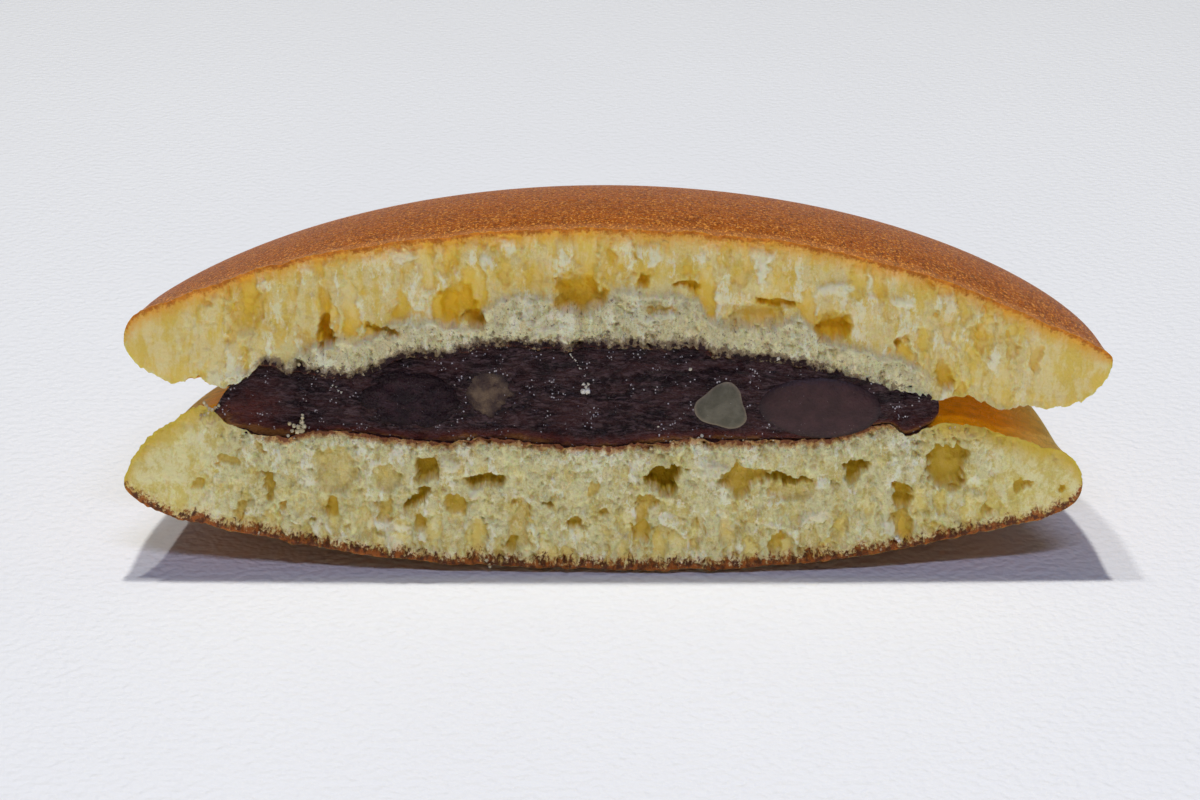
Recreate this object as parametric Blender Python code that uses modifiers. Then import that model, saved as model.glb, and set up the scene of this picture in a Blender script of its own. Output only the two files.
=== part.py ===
"""Half of a dorayaki: two griddled pancakes around sweet bean paste, cut straight through.

The whole pastry is modelled lying on its own axis, with the cut at y = 0 and the kept half
behind it. An empty then leans it back, as the heavy rounded half rests on a table.
Lengths are in millimetres until they reach Blender, which works in metres.
"""

import math

import bmesh
import bpy
from mathutils import Vector

MM = 0.001

# The whole pastry. Heights are measured from the middle of the filling.
AXIS_BEHIND_CUT = 3.0  # the knife went a little in front of the pastry's centre
LEAN_BACK = math.radians(4.5)
GAP = 0.3  # clear gap between touching pieces

# Upper pancake, dome up
UPPER_RADIUS = 44.8
UPPER_OFFSET_X = 1.7
UPPER_ROLL = math.radians(1.4)
UPPER_CROWN = 16.1
UPPER_DOME_DROP = 9.6
UPPER_DOME_POWER = 2.4
UPPER_DOME_END = 43.0
UPPER_TIP_HEIGHT = 4.9
UPPER_HOLLOW_RADIUS = 37.0
UPPER_HOLLOW_HEIGHT = 4.9
UPPER_LIP_HEIGHT = 0.6
UPPER_LIP_END = 41.0

# Lower pancake, dome down
LOWER_RADIUS = 44.1
LOWER_OFFSET_X = 0.3
LOWER_ROLL = math.radians(0.4)
LOWER_BED_HEIGHT = -4.2
LOWER_BED_RISE = 1.6
LOWER_BED_RADIUS = 33.0
LOWER_TIP_HEIGHT = -7.6
LOWER_FOOT_RADIUS = 41.5
LOWER_FOOT_RISE = 5.6
LOWER_FOOT_POWER = 2.1
LOWER_BOTTOM = -16.6
FLAT_SPOT_DEPTH = 0.30  # how far the soft base is pressed flat where it stands

# Bean paste
PASTE_RADIUS = 32.6
PASTE_OFFSET_X = -1.7
PASTE_ROLL = math.radians(0.9)
PASTE_CLEARANCE = 0.66  # leaves GAP at the side where the two pancakes pinch closer

# Beans that show in the cut face: x, height, half width, half depth, half height, turn
WHOLE_BEANS = {
    "whole_bean_right": (20.2, -0.7, 5.2, 3.1, 2.35, 1.0),
    "whole_bean_left": (-16.9, 0.1, 4.1, 2.8, 2.3, -4.0),
}
SPLIT_BEANS = {
    "split_bean_pale": (11.1, -0.3, 2.35, 2.6, 1.95, -8.0),
    "split_bean_brown": (-9.9, 0.9, 2.4, 2.4, 2.2, 35.0),
}
BEAN_PROUD = 0.4  # how far a whole bean stands out of the cut
BEAN_SEGMENTS = 20
BEAN_RINGS = 12

TURN_STEPS = 64
DOME_POINTS = 12
RIM_POINTS = 8
BED_POINTS = 9
BLOCK = 140.0  # cutters are comfortably larger than the pastry

# The box around the finished half is centred on the origin with these shifts.
CENTRE_SHIFT_X = -1.38
CENTRE_SHIFT_Y = -23.37

CRUST_BROWN = (0.38, 0.115, 0.030)
CRUMB_YELLOW = (0.62, 0.50, 0.20)
PASTE_DARK = (0.024, 0.014, 0.018)
SKIN_PURPLE = (0.045, 0.025, 0.030)
PALE_BEAN = (0.19, 0.20, 0.14)
BROWN_BEAN = (0.060, 0.042, 0.030)


def hermite(start, start_slope, end, end_slope, count):
    """Points of a smooth curve between two profile points, the first one left out."""
    points = []
    for step in range(1, count + 1):
        t = step / count
        a = 2 * t**3 - 3 * t**2 + 1
        b = t**3 - 2 * t**2 + t
        c = -2 * t**3 + 3 * t**2
        d = t**3 - t**2
        points.append(
            tuple(
                a * start[i] + b * start_slope[i] + c * end[i] + d * end_slope[i]
                for i in range(2)
            )
        )
    return points


def spaced(end, count):
    """Radii from the axis out to end, evenly spaced."""
    return [end * step / count for step in range(count + 1)]


def dome_height(radius):
    """Upper pancake's crusted top: flat in the middle, falling faster to the rim."""
    return UPPER_CROWN - UPPER_DOME_DROP * (radius / UPPER_DOME_END) ** UPPER_DOME_POWER


def hollow_height(radius):
    """Upper pancake's underside, which arches over the filling."""
    reach = min(radius / UPPER_HOLLOW_RADIUS, 1.0)
    arch = (1.0 - reach**2.2) ** 1.3
    return UPPER_LIP_HEIGHT + (UPPER_HOLLOW_HEIGHT - UPPER_LIP_HEIGHT) * arch


def bed_height(radius):
    """Lower pancake's top, a shallow dish that holds the filling."""
    return LOWER_BED_HEIGHT + LOWER_BED_RISE * (radius / LOWER_BED_RADIUS) ** 2


def foot_height(radius):
    """Lower pancake's crusted underside, a shallow bowl."""
    return LOWER_BOTTOM + LOWER_FOOT_RISE * (radius / LOWER_FOOT_RADIUS) ** LOWER_FOOT_POWER


def upper_profile():
    """Upper pancake's outline from the crown, round the rim, to the middle underneath."""
    dome = [(r, dome_height(r)) for r in spaced(UPPER_DOME_END, DOME_POINTS)]
    tip = (UPPER_RADIUS, UPPER_TIP_HEIGHT)
    lip = (UPPER_LIP_END, UPPER_LIP_HEIGHT)
    rim = hermite(dome[-1], (2.0, -1.2), tip, (0.0, -2.4), RIM_POINTS // 2)
    lip_curve = hermite(tip, (0.0, -4.6), lip, (-5.0, -0.3), RIM_POINTS)
    hollow = [(r, hollow_height(r)) for r in reversed(spaced(UPPER_LIP_END, DOME_POINTS))]
    return dome + rim + lip_curve + hollow[1:]


def lower_profile():
    """Lower pancake's outline from its bed, round the rim, to the middle of its foot."""
    bed = [(r, bed_height(r)) for r in spaced(LOWER_BED_RADIUS, BED_POINTS)]
    tip = (LOWER_RADIUS, LOWER_TIP_HEIGHT)
    foot_edge = (LOWER_FOOT_RADIUS, foot_height(LOWER_FOOT_RADIUS))
    shoulder = hermite(bed[-1], (9.0, 1.2), tip, (0.4, -5.6), RIM_POINTS)
    rim = hermite(tip, (0.0, -3.4), foot_edge, (-3.6, -1.0), RIM_POINTS // 2)
    foot = [(r, foot_height(r)) for r in reversed(spaced(LOWER_FOOT_RADIUS, DOME_POINTS))]
    return bed + shoulder + rim + foot[1:]


def paste_profile():
    """Filling's outline, which follows both pancakes and ends in a rounded edge."""
    radii = spaced(PASTE_RADIUS - 1.6, BED_POINTS)
    top = [(r, hollow_height(r) - PASTE_CLEARANCE) for r in radii]
    bottom = [(r, bed_height(r) + PASTE_CLEARANCE) for r in reversed(radii)]
    middle = (PASTE_RADIUS, 0.5 * (top[-1][1] + bottom[0][1]))
    upper_edge = hermite(top[-1], (1.8, -0.3), middle, (0.0, -1.6), RIM_POINTS // 2)
    lower_edge = hermite(middle, (0.0, -1.6), bottom[0], (-1.8, -0.3), RIM_POINTS // 2)
    return top + upper_edge + lower_edge + bottom[1:]


def new_material(name, colour, roughness):
    """A Principled material with one colour and roughness."""
    material = bpy.data.materials.new(name)
    material.use_nodes = True
    shader = material.node_tree.nodes["Principled BSDF"]
    shader.inputs["Base Color"].default_value = (*colour, 1.0)
    shader.inputs["Roughness"].default_value = roughness
    shader.inputs["Metallic"].default_value = 0.0
    return material


def add_object(name, mesh, collection):
    """A new object around a mesh, in the given collection."""
    piece = bpy.data.objects.new(name, mesh)
    collection.objects.link(piece)
    return piece


def turned_piece(name, profile, collection):
    """A closed turned body from a profile in the X-Z plane."""
    sketch = bmesh.new()
    points = [sketch.verts.new((r * MM, 0.0, z * MM)) for r, z in profile]
    for first, second in zip(points, points[1:]):
        sketch.edges.new((first, second))
    mesh = bpy.data.meshes.new(name)
    sketch.to_mesh(mesh)
    sketch.free()
    piece = add_object(name, mesh, collection)
    screw = piece.modifiers.new("turn", "SCREW")
    screw.axis = "Z"
    screw.steps = TURN_STEPS
    screw.render_steps = TURN_STEPS
    screw.use_merge_vertices = True
    screw.merge_threshold = 0.00001
    screw.use_smooth_shade = True
    return piece


def block(name, centre, size, collection):
    """A hidden box used as a cutter, its size applied to its mesh."""
    shape = bmesh.new()
    bmesh.ops.create_cube(shape, size=1.0)
    bmesh.ops.scale(shape, vec=Vector(size) * MM, verts=shape.verts)
    mesh = bpy.data.meshes.new(name)
    shape.to_mesh(mesh)
    shape.free()
    cutter = add_object(name, mesh, collection)
    cutter.location = Vector(centre) * MM
    cutter.display_type = "WIRE"
    cutter.hide_render = True
    return cutter


def ellipsoid(name, half_sizes, collection, swell=0.0):
    """A closed bean shape, a sphere stretched to its half sizes plus an even swell."""
    shape = bmesh.new()
    bmesh.ops.create_uvsphere(shape, u_segments=BEAN_SEGMENTS, v_segments=BEAN_RINGS, radius=1.0)
    reach = Vector([(half + swell) * MM for half in half_sizes])
    bmesh.ops.scale(shape, vec=reach, verts=shape.verts)
    mesh = bpy.data.meshes.new(name)
    shape.to_mesh(mesh)
    shape.free()
    mesh.shade_smooth()
    return add_object(name, mesh, collection)


def subtract(piece, cutter):
    """Cuts one body out of another and keeps the cut as a modifier."""
    cut = piece.modifiers.new("cut_" + cutter.name, "BOOLEAN")
    cut.operation = "DIFFERENCE"
    cut.solver = "EXACT"
    cut.object = cutter


def standing_height():
    """How far the floor lies below the middle of the filling once the half leans back."""
    heights = []
    for step in range(0, 401):
        behind_axis = LOWER_FOOT_RADIUS * step / 400
        height = foot_height(behind_axis)
        behind_cut = AXIS_BEHIND_CUT + behind_axis
        heights.append(height * math.cos(LEAN_BACK) - behind_cut * math.sin(LEAN_BACK))
    return -(min(heights) + FLAT_SPOT_DEPTH)


def place_bean(name, facts, behind, lean, collection, cutters):
    """One bean and the pocket that it sits in, centred a little behind the cut."""
    x, height, half_x, half_y, half_z, turn = facts
    bean = ellipsoid(name, (half_x, half_y, half_z), collection)
    pocket = ellipsoid(name + "_pocket", (half_x, half_y, half_z), cutters, swell=GAP)
    pocket.display_type = "WIRE"
    pocket.hide_render = True
    for piece in (bean, pocket):
        piece.parent = lean
        piece.location = Vector((x, behind, height)) * MM
        piece.rotation_euler = (0.0, math.radians(turn), 0.0)
    return bean, pocket


def build():
    """Makes the whole half pastry."""
    for old in list(bpy.data.objects):
        bpy.data.objects.remove(old, do_unlink=True)
    parts = bpy.data.collections.new("dorayaki_half")
    cutters = bpy.data.collections.new("cutters")
    bpy.context.scene.collection.children.link(parts)
    bpy.context.scene.collection.children.link(cutters)

    lean = bpy.data.objects.new("lean", None)
    parts.objects.link(lean)
    lean.rotation_euler = (-LEAN_BACK, 0.0, 0.0)
    lean.location = Vector((CENTRE_SHIFT_X, CENTRE_SHIFT_Y, standing_height())) * MM

    knife = block("knife", (0.0, -BLOCK / 2, 0.0), (BLOCK, BLOCK, BLOCK), cutters)
    knife.parent = lean
    table = block("table", (0.0, 0.0, -BLOCK / 2), (2 * BLOCK, 2 * BLOCK, BLOCK), cutters)

    turned = (
        ("upper_pancake", upper_profile(), UPPER_OFFSET_X, UPPER_ROLL, CRUST_BROWN, 0.55),
        ("lower_pancake", lower_profile(), LOWER_OFFSET_X, LOWER_ROLL, CRUMB_YELLOW, 0.70),
        ("bean_paste", paste_profile(), PASTE_OFFSET_X, PASTE_ROLL, PASTE_DARK, 0.35),
    )
    pieces = {}
    for name, profile, offset, roll, colour, roughness in turned:
        piece = turned_piece(name, profile, parts)
        piece.parent = lean
        piece.location = Vector((offset, AXIS_BEHIND_CUT, 0.0)) * MM
        piece.rotation_euler = (0.0, roll, 0.0)
        subtract(piece, knife)
        piece.data.materials.append(new_material(name, colour, roughness))
        pieces[name] = piece
    subtract(pieces["lower_pancake"], table)

    for name, facts in WHOLE_BEANS.items():
        behind = facts[3] - BEAN_PROUD
        bean, pocket = place_bean(name, facts, behind, lean, parts, cutters)
        bean.data.materials.append(new_material(name, SKIN_PURPLE, 0.30))
        subtract(pieces["bean_paste"], pocket)
    for name, facts in SPLIT_BEANS.items():
        bean, pocket = place_bean(name, facts, 0.0, lean, parts, cutters)
        colour = PALE_BEAN if name == "split_bean_pale" else BROWN_BEAN
        bean.data.materials.append(new_material(name, colour, 0.45))
        subtract(bean, knife)
        subtract(pieces["bean_paste"], pocket)


build()
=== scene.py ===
"""Half of a dorayaki, cut face forward, on a pale table.

Two griddled pancakes with sweet bean paste between them, cut straight through. Shapes are
worked out in millimetres in the pastry's own frame: across the cut, behind the cut, and up
the cut from the middle of the filling. The half leans back a little as it stands.
"""

from __future__ import annotations

import logging
import math
from dataclasses import asdict, dataclass
from enum import Enum
from functools import cached_property

import bmesh
import bpy
import numpy as np
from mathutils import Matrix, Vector

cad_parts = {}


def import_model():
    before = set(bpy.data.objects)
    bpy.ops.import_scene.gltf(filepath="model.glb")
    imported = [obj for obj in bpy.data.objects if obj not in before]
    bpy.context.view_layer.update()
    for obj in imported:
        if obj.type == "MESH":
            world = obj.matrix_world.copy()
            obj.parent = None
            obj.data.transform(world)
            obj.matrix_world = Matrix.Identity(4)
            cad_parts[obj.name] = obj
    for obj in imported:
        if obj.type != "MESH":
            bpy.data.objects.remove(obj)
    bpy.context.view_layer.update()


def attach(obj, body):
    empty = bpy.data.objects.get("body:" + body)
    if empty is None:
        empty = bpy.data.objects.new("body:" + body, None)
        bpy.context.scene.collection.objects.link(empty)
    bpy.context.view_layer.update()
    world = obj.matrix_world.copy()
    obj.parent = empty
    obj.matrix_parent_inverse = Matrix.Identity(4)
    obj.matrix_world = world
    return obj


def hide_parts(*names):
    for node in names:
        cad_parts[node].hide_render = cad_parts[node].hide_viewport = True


logging.basicConfig(level=logging.INFO, format="%(message)s")
LOG = logging.getLogger("dorayaki")

MM = 0.001
FULL_TURNS = (6.28, 6.28, 6.28)

# In millimetres: how far behind the cut the pastry's middle lies, the radii of the arch over
# the filling and of the bed under it, and a level below everything that isn't there.
AXIS_BEHIND_CUT = 3.0
ARCH_RADIUS = 37.0
BED_RADIUS = 33.0
NOWHERE = -99.0

Triple = tuple[float, float, float]
Colour = Triple
Tree = bpy.types.NodeTree
Grid = np.ndarray


class Node(Enum):
    """Nodes of the frame that the pieces stand for."""

    UPPER = "upper_pancake"
    LOWER = "lower_pancake"
    PASTE = "bean_paste"
    BEAN_LEFT = "whole_bean_left"
    BEAN_RIGHT = "whole_bean_right"
    SPLIT_PALE = "split_bean_pale"
    SPLIT_BROWN = "split_bean_brown"


class Slot(Enum):
    """Material slots of the record."""

    UPPER = "upper_pancake"
    LOWER = "lower_pancake"
    PASTE = "bean_paste"
    SKIN = "whole_bean_skin"
    PALE = "split_bean_pale"
    BROWN = "split_bean_brown"


class Attr(Enum):
    """Named point attributes that shape and colour the crumb."""

    PLACE = "place_mm"
    FACE = "cut_face"
    HERO = "hero_depth"
    # Painted amber glow and shade in the hollows.
    AMBER = "amber"
    # Pale clumps, and a painted highlight along the ledge's top edge.
    PALE = "pale"
    EDGE = "crust_distance"
    BAKE = "bake"
    # The soak mark: on the skin the soaked inner side, whose amber is partly a painted glow; on the cut,
    # painted shade in the hollows above the ledge.
    SOAK = "soak"
    STAIN = "stain"
    COLUMNS = "columns"
    SPONGE = "sponge"
    CRUMBLY = "crumbly"
    PORE = "pore_depth"
    CELL = "cell_tone"
    TORN = "torn_edge"
    SIZE = "crumb_size"
    OPEN = "open_crumb"


# ---- Frame and small tools ----


@dataclass(frozen=True)
class CutFrame:
    """The pastry's own frame, in millimetres, inside the table's frame."""

    middle: Triple = (-1.38, -23.37, 17.016)
    lean: float = math.radians(4.5)

    def inward(self) -> Vector:
        """Direction straight into the cut face."""
        return Vector((0.0, math.cos(self.lean), -math.sin(self.lean)))

    def upward(self) -> Vector:
        """Direction up the cut face."""
        return Vector((0.0, math.sin(self.lean), math.cos(self.lean)))

    def world(self, places: Grid) -> Grid:
        """Turns places in the cut frame into table coordinates.

        Args:
            places: An (n, 3) array of across, behind and up, in millimetres.

        Returns:
            The same places in metres, as an (n, 3) array.
        """
        inward = np.array(self.inward())
        upward = np.array(self.upward())
        across = np.array((1.0, 0.0, 0.0))
        moved = places[:, :1] * across + places[:, 1:2] * inward + places[:, 2:3] * upward
        return (moved + np.array(self.middle)) * MM


FRAME = CutFrame()


def smooth(value: Grid, start: float, end: float) -> Grid:
    """Smooth step from 0 at start to 1 at end, which may run either way.

    Args:
        value: The values to shape.
        start: Where the result is 0.
        end: Where the result is 1.

    Returns:
        An array of the same shape, between 0 and 1.
    """
    t = np.clip((value - start) / (end - start), 0.0, 1.0)
    return t * t * (3.0 - 2.0 * t)


class ValueNoise:
    """Seeded smooth noise over a plane, between 0 and 1."""

    SIZE = 128

    def __init__(self, seed: int) -> None:
        """Fills the lattice from the seed."""
        self.table = np.random.default_rng(seed).random((self.SIZE, self.SIZE))

    def at(self, x: Grid, y: Grid, scale: float, octaves: int = 1) -> Grid:
        """Reads the noise.

        Args:
            x: First coordinate in millimetres.
            y: Second coordinate in millimetres.
            scale: Size of the largest features in millimetres.
            octaves: How many layers, each half the size of the last.

        Returns:
            Noise values between 0 and 1.
        """
        total = np.zeros(np.broadcast(x, y).shape)
        weight = 0.0
        for layer in range(octaves):
            share = 0.5**layer
            total = total + share * self._layer(x, y, scale * share, 17.3 * layer)
            weight += share
        return total / weight

    def _layer(self, x: Grid, y: Grid, scale: float, shift: float) -> Grid:
        """Reads one layer of smooth lattice noise.

        Args:
            x: First coordinate in millimetres.
            y: Second coordinate in millimetres.
            scale: Size of the features in millimetres.
            shift: Shift on the lattice, so that layers don't line up.

        Returns:
            Noise values between 0 and 1.
        """
        fx = np.asarray(x) / scale + 1000.0 + shift
        fy = np.asarray(y) / scale + 1000.0 + shift
        ix = np.floor(fx).astype(int)
        iy = np.floor(fy).astype(int)
        tx = smooth(fx - ix, 0.0, 1.0)
        ty = smooth(fy - iy, 0.0, 1.0)
        left, right = ix % self.SIZE, (ix + 1) % self.SIZE
        near, far = iy % self.SIZE, (iy + 1) % self.SIZE
        low = self.table[left, near] * (1 - tx) + self.table[right, near] * tx
        high = self.table[left, far] * (1 - tx) + self.table[right, far] * tx
        return low * (1 - ty) + high * ty


@dataclass(frozen=True)
class Outline:
    """An edge of the cut face, through points of (across, up) from left tip to right tip."""

    points: tuple[tuple[float, float], ...]

    def heights(self, reach: Grid) -> Grid:
        """Heights along the edge, smooth through the points.

        Args:
            reach: Position along the cut, from -1 at the left tip to 1 at the right tip.

        Returns:
            Height up the cut face in millimetres for each position.
        """
        across = np.array([point[0] for point in self.points])
        up = np.array([point[1] for point in self.points])
        centre = 0.5 * (across[0] + across[-1])
        half = 0.5 * (across[-1] - across[0])
        knots = np.arcsin(np.clip((across - centre) / half, -1.0, 1.0))
        where = np.arcsin(np.clip(reach, -1.0, 1.0))
        slopes = np.gradient(up, knots)
        index = np.clip(np.searchsorted(knots, where) - 1, 0, len(knots) - 2)
        span = knots[index + 1] - knots[index]
        t = (where - knots[index]) / span
        start = (2 * t**3 - 3 * t**2 + 1) * up[index] + (t**3 - 2 * t**2 + t) * span * slopes[index]
        end = (3 * t**2 - 2 * t**3) * up[index + 1] + (t**3 - t**2) * span * slopes[index + 1]
        return start + end


# ---- Pores in the crumb ----


@dataclass(frozen=True)
class Pore:
    """One hollow in the cut crumb, in millimetres; lean in degrees, flare widens it below."""

    across: float
    up: float
    width: float
    height: float
    depth: float
    # Share of painted amber glow and shade in this hollow.
    amber: float = 0.6
    lean: float = 0.0
    flare: float = 0.0


@dataclass(frozen=True)
class Clump:
    """One pale dry clump of crumb that stands a little proud of the cut."""

    across: float
    up: float
    width: float
    height: float


@dataclass(frozen=True)
class PoreField:
    """All the listed pores and clumps of one pancake.

    Shelved pores are deep at their foot and shallow at their top. The wall is where a pore's
    side starts, as a share of its outline, and squareness shapes that outline.
    """

    pores: tuple[Pore, ...]
    clumps: tuple[Clump, ...]
    seed: int
    shelved: bool = False
    wall: float = 0.78
    depth_share: float = 0.8
    squareness: float = 2.6

    def read(self, across: Grid, up: Grid) -> tuple[Grid, Grid, Grid]:
        """Depth, amber tone and paleness over the cut face.

        Args:
            across: Position across the cut in millimetres.
            up: Height up the cut in millimetres.

        Returns:
            Depth in millimetres, amber from 0 to 1 and paleness from 0 to 1.
        """
        x, z = self._wandered(across, up)
        tear = 0.7 * (ValueNoise(self.seed + 2).at(across, up, 0.9, 3) - 0.5)
        depth = np.zeros_like(x)
        amber = np.zeros_like(x)
        for pore in self.pores:
            reach, level = self._reach(pore, x, z)
            reach = reach + tear
            own_depth = self.depth_share * pore.depth * smooth(reach, 1.06, self.wall)
            own_amber = pore.amber * smooth(reach, 1.14, 0.84)
            if self.shelved:
                own_depth = own_depth * smooth(level, 1.3, -0.2)
                # In shelved pores the painted amber shade grows towards the foot and fades out on the lit
                # shelf at the very bottom.
                foot = 0.35 + 0.65 * smooth(level, 0.8, -0.1)
                own_amber = own_amber * foot * smooth(level, -1.0, -0.55)
            depth = np.maximum(depth, own_depth)
            amber = np.maximum(amber, own_amber)
        pale = np.zeros_like(x)
        for clump in self.clumps:
            spread = np.hypot((x - clump.across) / clump.width, (z - clump.up) / clump.height)
            pale = np.maximum(pale, smooth(spread, 0.62, 0.42))
        return depth, amber, pale

    def _wandered(self, across: Grid, up: Grid) -> tuple[Grid, Grid]:
        """Shifts coordinates by noise, so that every outline comes out torn, not drawn.

        Args:
            across: Position across the cut in millimetres.
            up: Height up the cut in millimetres.

        Returns:
            The shifted position and height.
        """
        drift = ValueNoise(self.seed)
        twist = ValueNoise(self.seed + 1)
        x = across + 0.9 * (drift.at(across, up, 1.6) - 0.5)
        x = x + 0.7 * (drift.at(across, up, 0.45, 2) - 0.5)
        z = up + 0.8 * (twist.at(across, up, 1.5) - 0.5)
        z = z + 0.7 * (twist.at(across, up, 0.45, 2) - 0.5)
        return x, z

    def _reach(self, pore: Pore, x: Grid, z: Grid) -> tuple[Grid, Grid]:
        """Works out how each place lies in a pore.

        Args:
            pore: The pore.
            x: Position across the cut in millimetres.
            z: Height up the cut in millimetres.

        Returns:
            How far out of the pore each place is, 1 on its outline, and how high up in it.
        """
        turn = math.radians(pore.lean)
        dx = x - pore.across
        dz = z - pore.up
        along = dx * math.cos(turn) - dz * math.sin(turn)
        rise = dx * math.sin(turn) + dz * math.cos(turn)
        rise = rise / (0.5 * pore.height)
        level = np.clip(rise, -1.2, 1.2)
        half_width = 0.5 * pore.width * (1.0 - pore.flare * level)
        side = np.abs(along / np.maximum(half_width, 0.05)) ** self.squareness
        return (side + np.abs(rise) ** self.squareness) ** (1 / self.squareness), level


def each(kind: type, *rows: tuple[float, ...]) -> tuple:
    """Makes one of a kind from each row of sizes."""
    return tuple(kind(*row) for row in rows)


UPPER_PORES = PoreField(
    pores=each(
        Pore,
        (-24.9, 9.6, 1.7, 5.2, 1.5, 0.6), (-24.8, 6.6, 1.5, 3.9, 3.8, 1.0),
        (-31.5, 8.6, 3.4, 5.9, 1.0, 0.75, 0.0, 0.1), (-19.7, 6.7, 2.9, 0.9, 1.8, 1.0, 24.0),
        (-12.6, 9.6, 2.9, 5.0, 2.2, 1.0, 0.0, 0.25), (-11.5, 7.6, 2.2, 2.6, 3.0, 0.7),
        (-1.9, 10.3, 4.1, 4.4, 2.6, 1.0, 0.0, 0.35), (3.9, 11.3, 2.2, 2.4, 2.2, 1.0, 0.0, 0.15),
        (7.9, 10.5, 2.0, 1.1, 2.2, 1.0, 20.0), (5.8, 8.7, 3.0, 1.0, 0.7, 0.7),
        (13.7, 8.0, 6.2, 3.2, 2.2, 0.35, 0.0, -0.1), (15.8, 9.1, 4.0, 1.0, 2.4, 1.0, 10.0),
        (21.4, 6.9, 3.7, 3.6, 2.8, 1.0, 6.0, -0.1), (25.4, 10.0, 1.2, 2.2, 0.9, 0.7),
        (27.1, 5.4, 1.1, 1.5, 2.2, 0.9, 8.0, -0.3), (31.4, 6.8, 1.5, 4.2, 0.6, 0.5),
        (34.4, 6.0, 1.9, 4.0, 0.7, 0.6, -8.0), (36.9, 5.3, 1.2, 3.8, 0.5, 0.5, -12.0),
        (39.3, 4.3, 1.4, 3.6, 0.6, 0.6, -20.0), (31.3, 2.5, 1.5, 3.2, 1.2, 0.8),
        (-8.3, 11.8, 1.4, 4.6, 0.9, 0.7), (0.9, 12.6, 2.2, 5.2, 0.7, 0.55),
        (-5.8, 11.3, 2.8, 3.6, 0.8, 0.5), (5.8, 14.0, 1.5, 2.0, 0.5, 0.5),
        (12.5, 11.4, 2.0, 3.4, 0.9, 0.45), (16.8, 11.9, 1.8, 4.6, 0.6, 0.4),
        (-27.6, 9.9, 1.0, 1.9, 0.5, 0.6), (-35.4, 9.4, 1.1, 0.9, 0.5, 0.6),
        (-17.4, 12.3, 1.2, 1.3, 0.5, 0.6), (-21.0, 10.4, 1.1, 2.0, 0.5, 0.5),
        (-26.6, 5.6, 1.5, 2.4, 1.0, 0.6, 10.0), (-33.2, 6.3, 1.4, 3.0, 0.4, 0.5),
        (-28.9, 5.9, 0.9, 2.4, 0.5, 0.5), (-13.8, 12.9, 1.4, 3.6, 0.8, 0.5),
        (-17.5, 8.1, 4.6, 1.2, 0.9, 0.5, 12.0),
    ),
    clumps=each(
        Clump,
        (-17.7, 13.4, 2.6, 1.1), (-10.2, 12.7, 1.3, 1.6), (-8.0, 14.1, 1.6, 1.4),
        (-6.3, 7.6, 1.3, 1.0), (-4.8, 6.4, 2.0, 1.0), (4.6, 13.6, 2.2, 1.8), (14.4, 13.3, 2.2, 1.4),
        (14.8, 11.6, 0.9, 2.4), (21.2, 10.2, 3.2, 1.2), (27.3, 9.1, 1.9, 0.8), (5.0, 7.7, 2.4, 0.7),
        (-24.3, 4.7, 1.6, 0.6), (31.6, 0.7, 0.9, 1.6),
    ),
    seed=11,
    shelved=True,
    wall=0.60,
)

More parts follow.
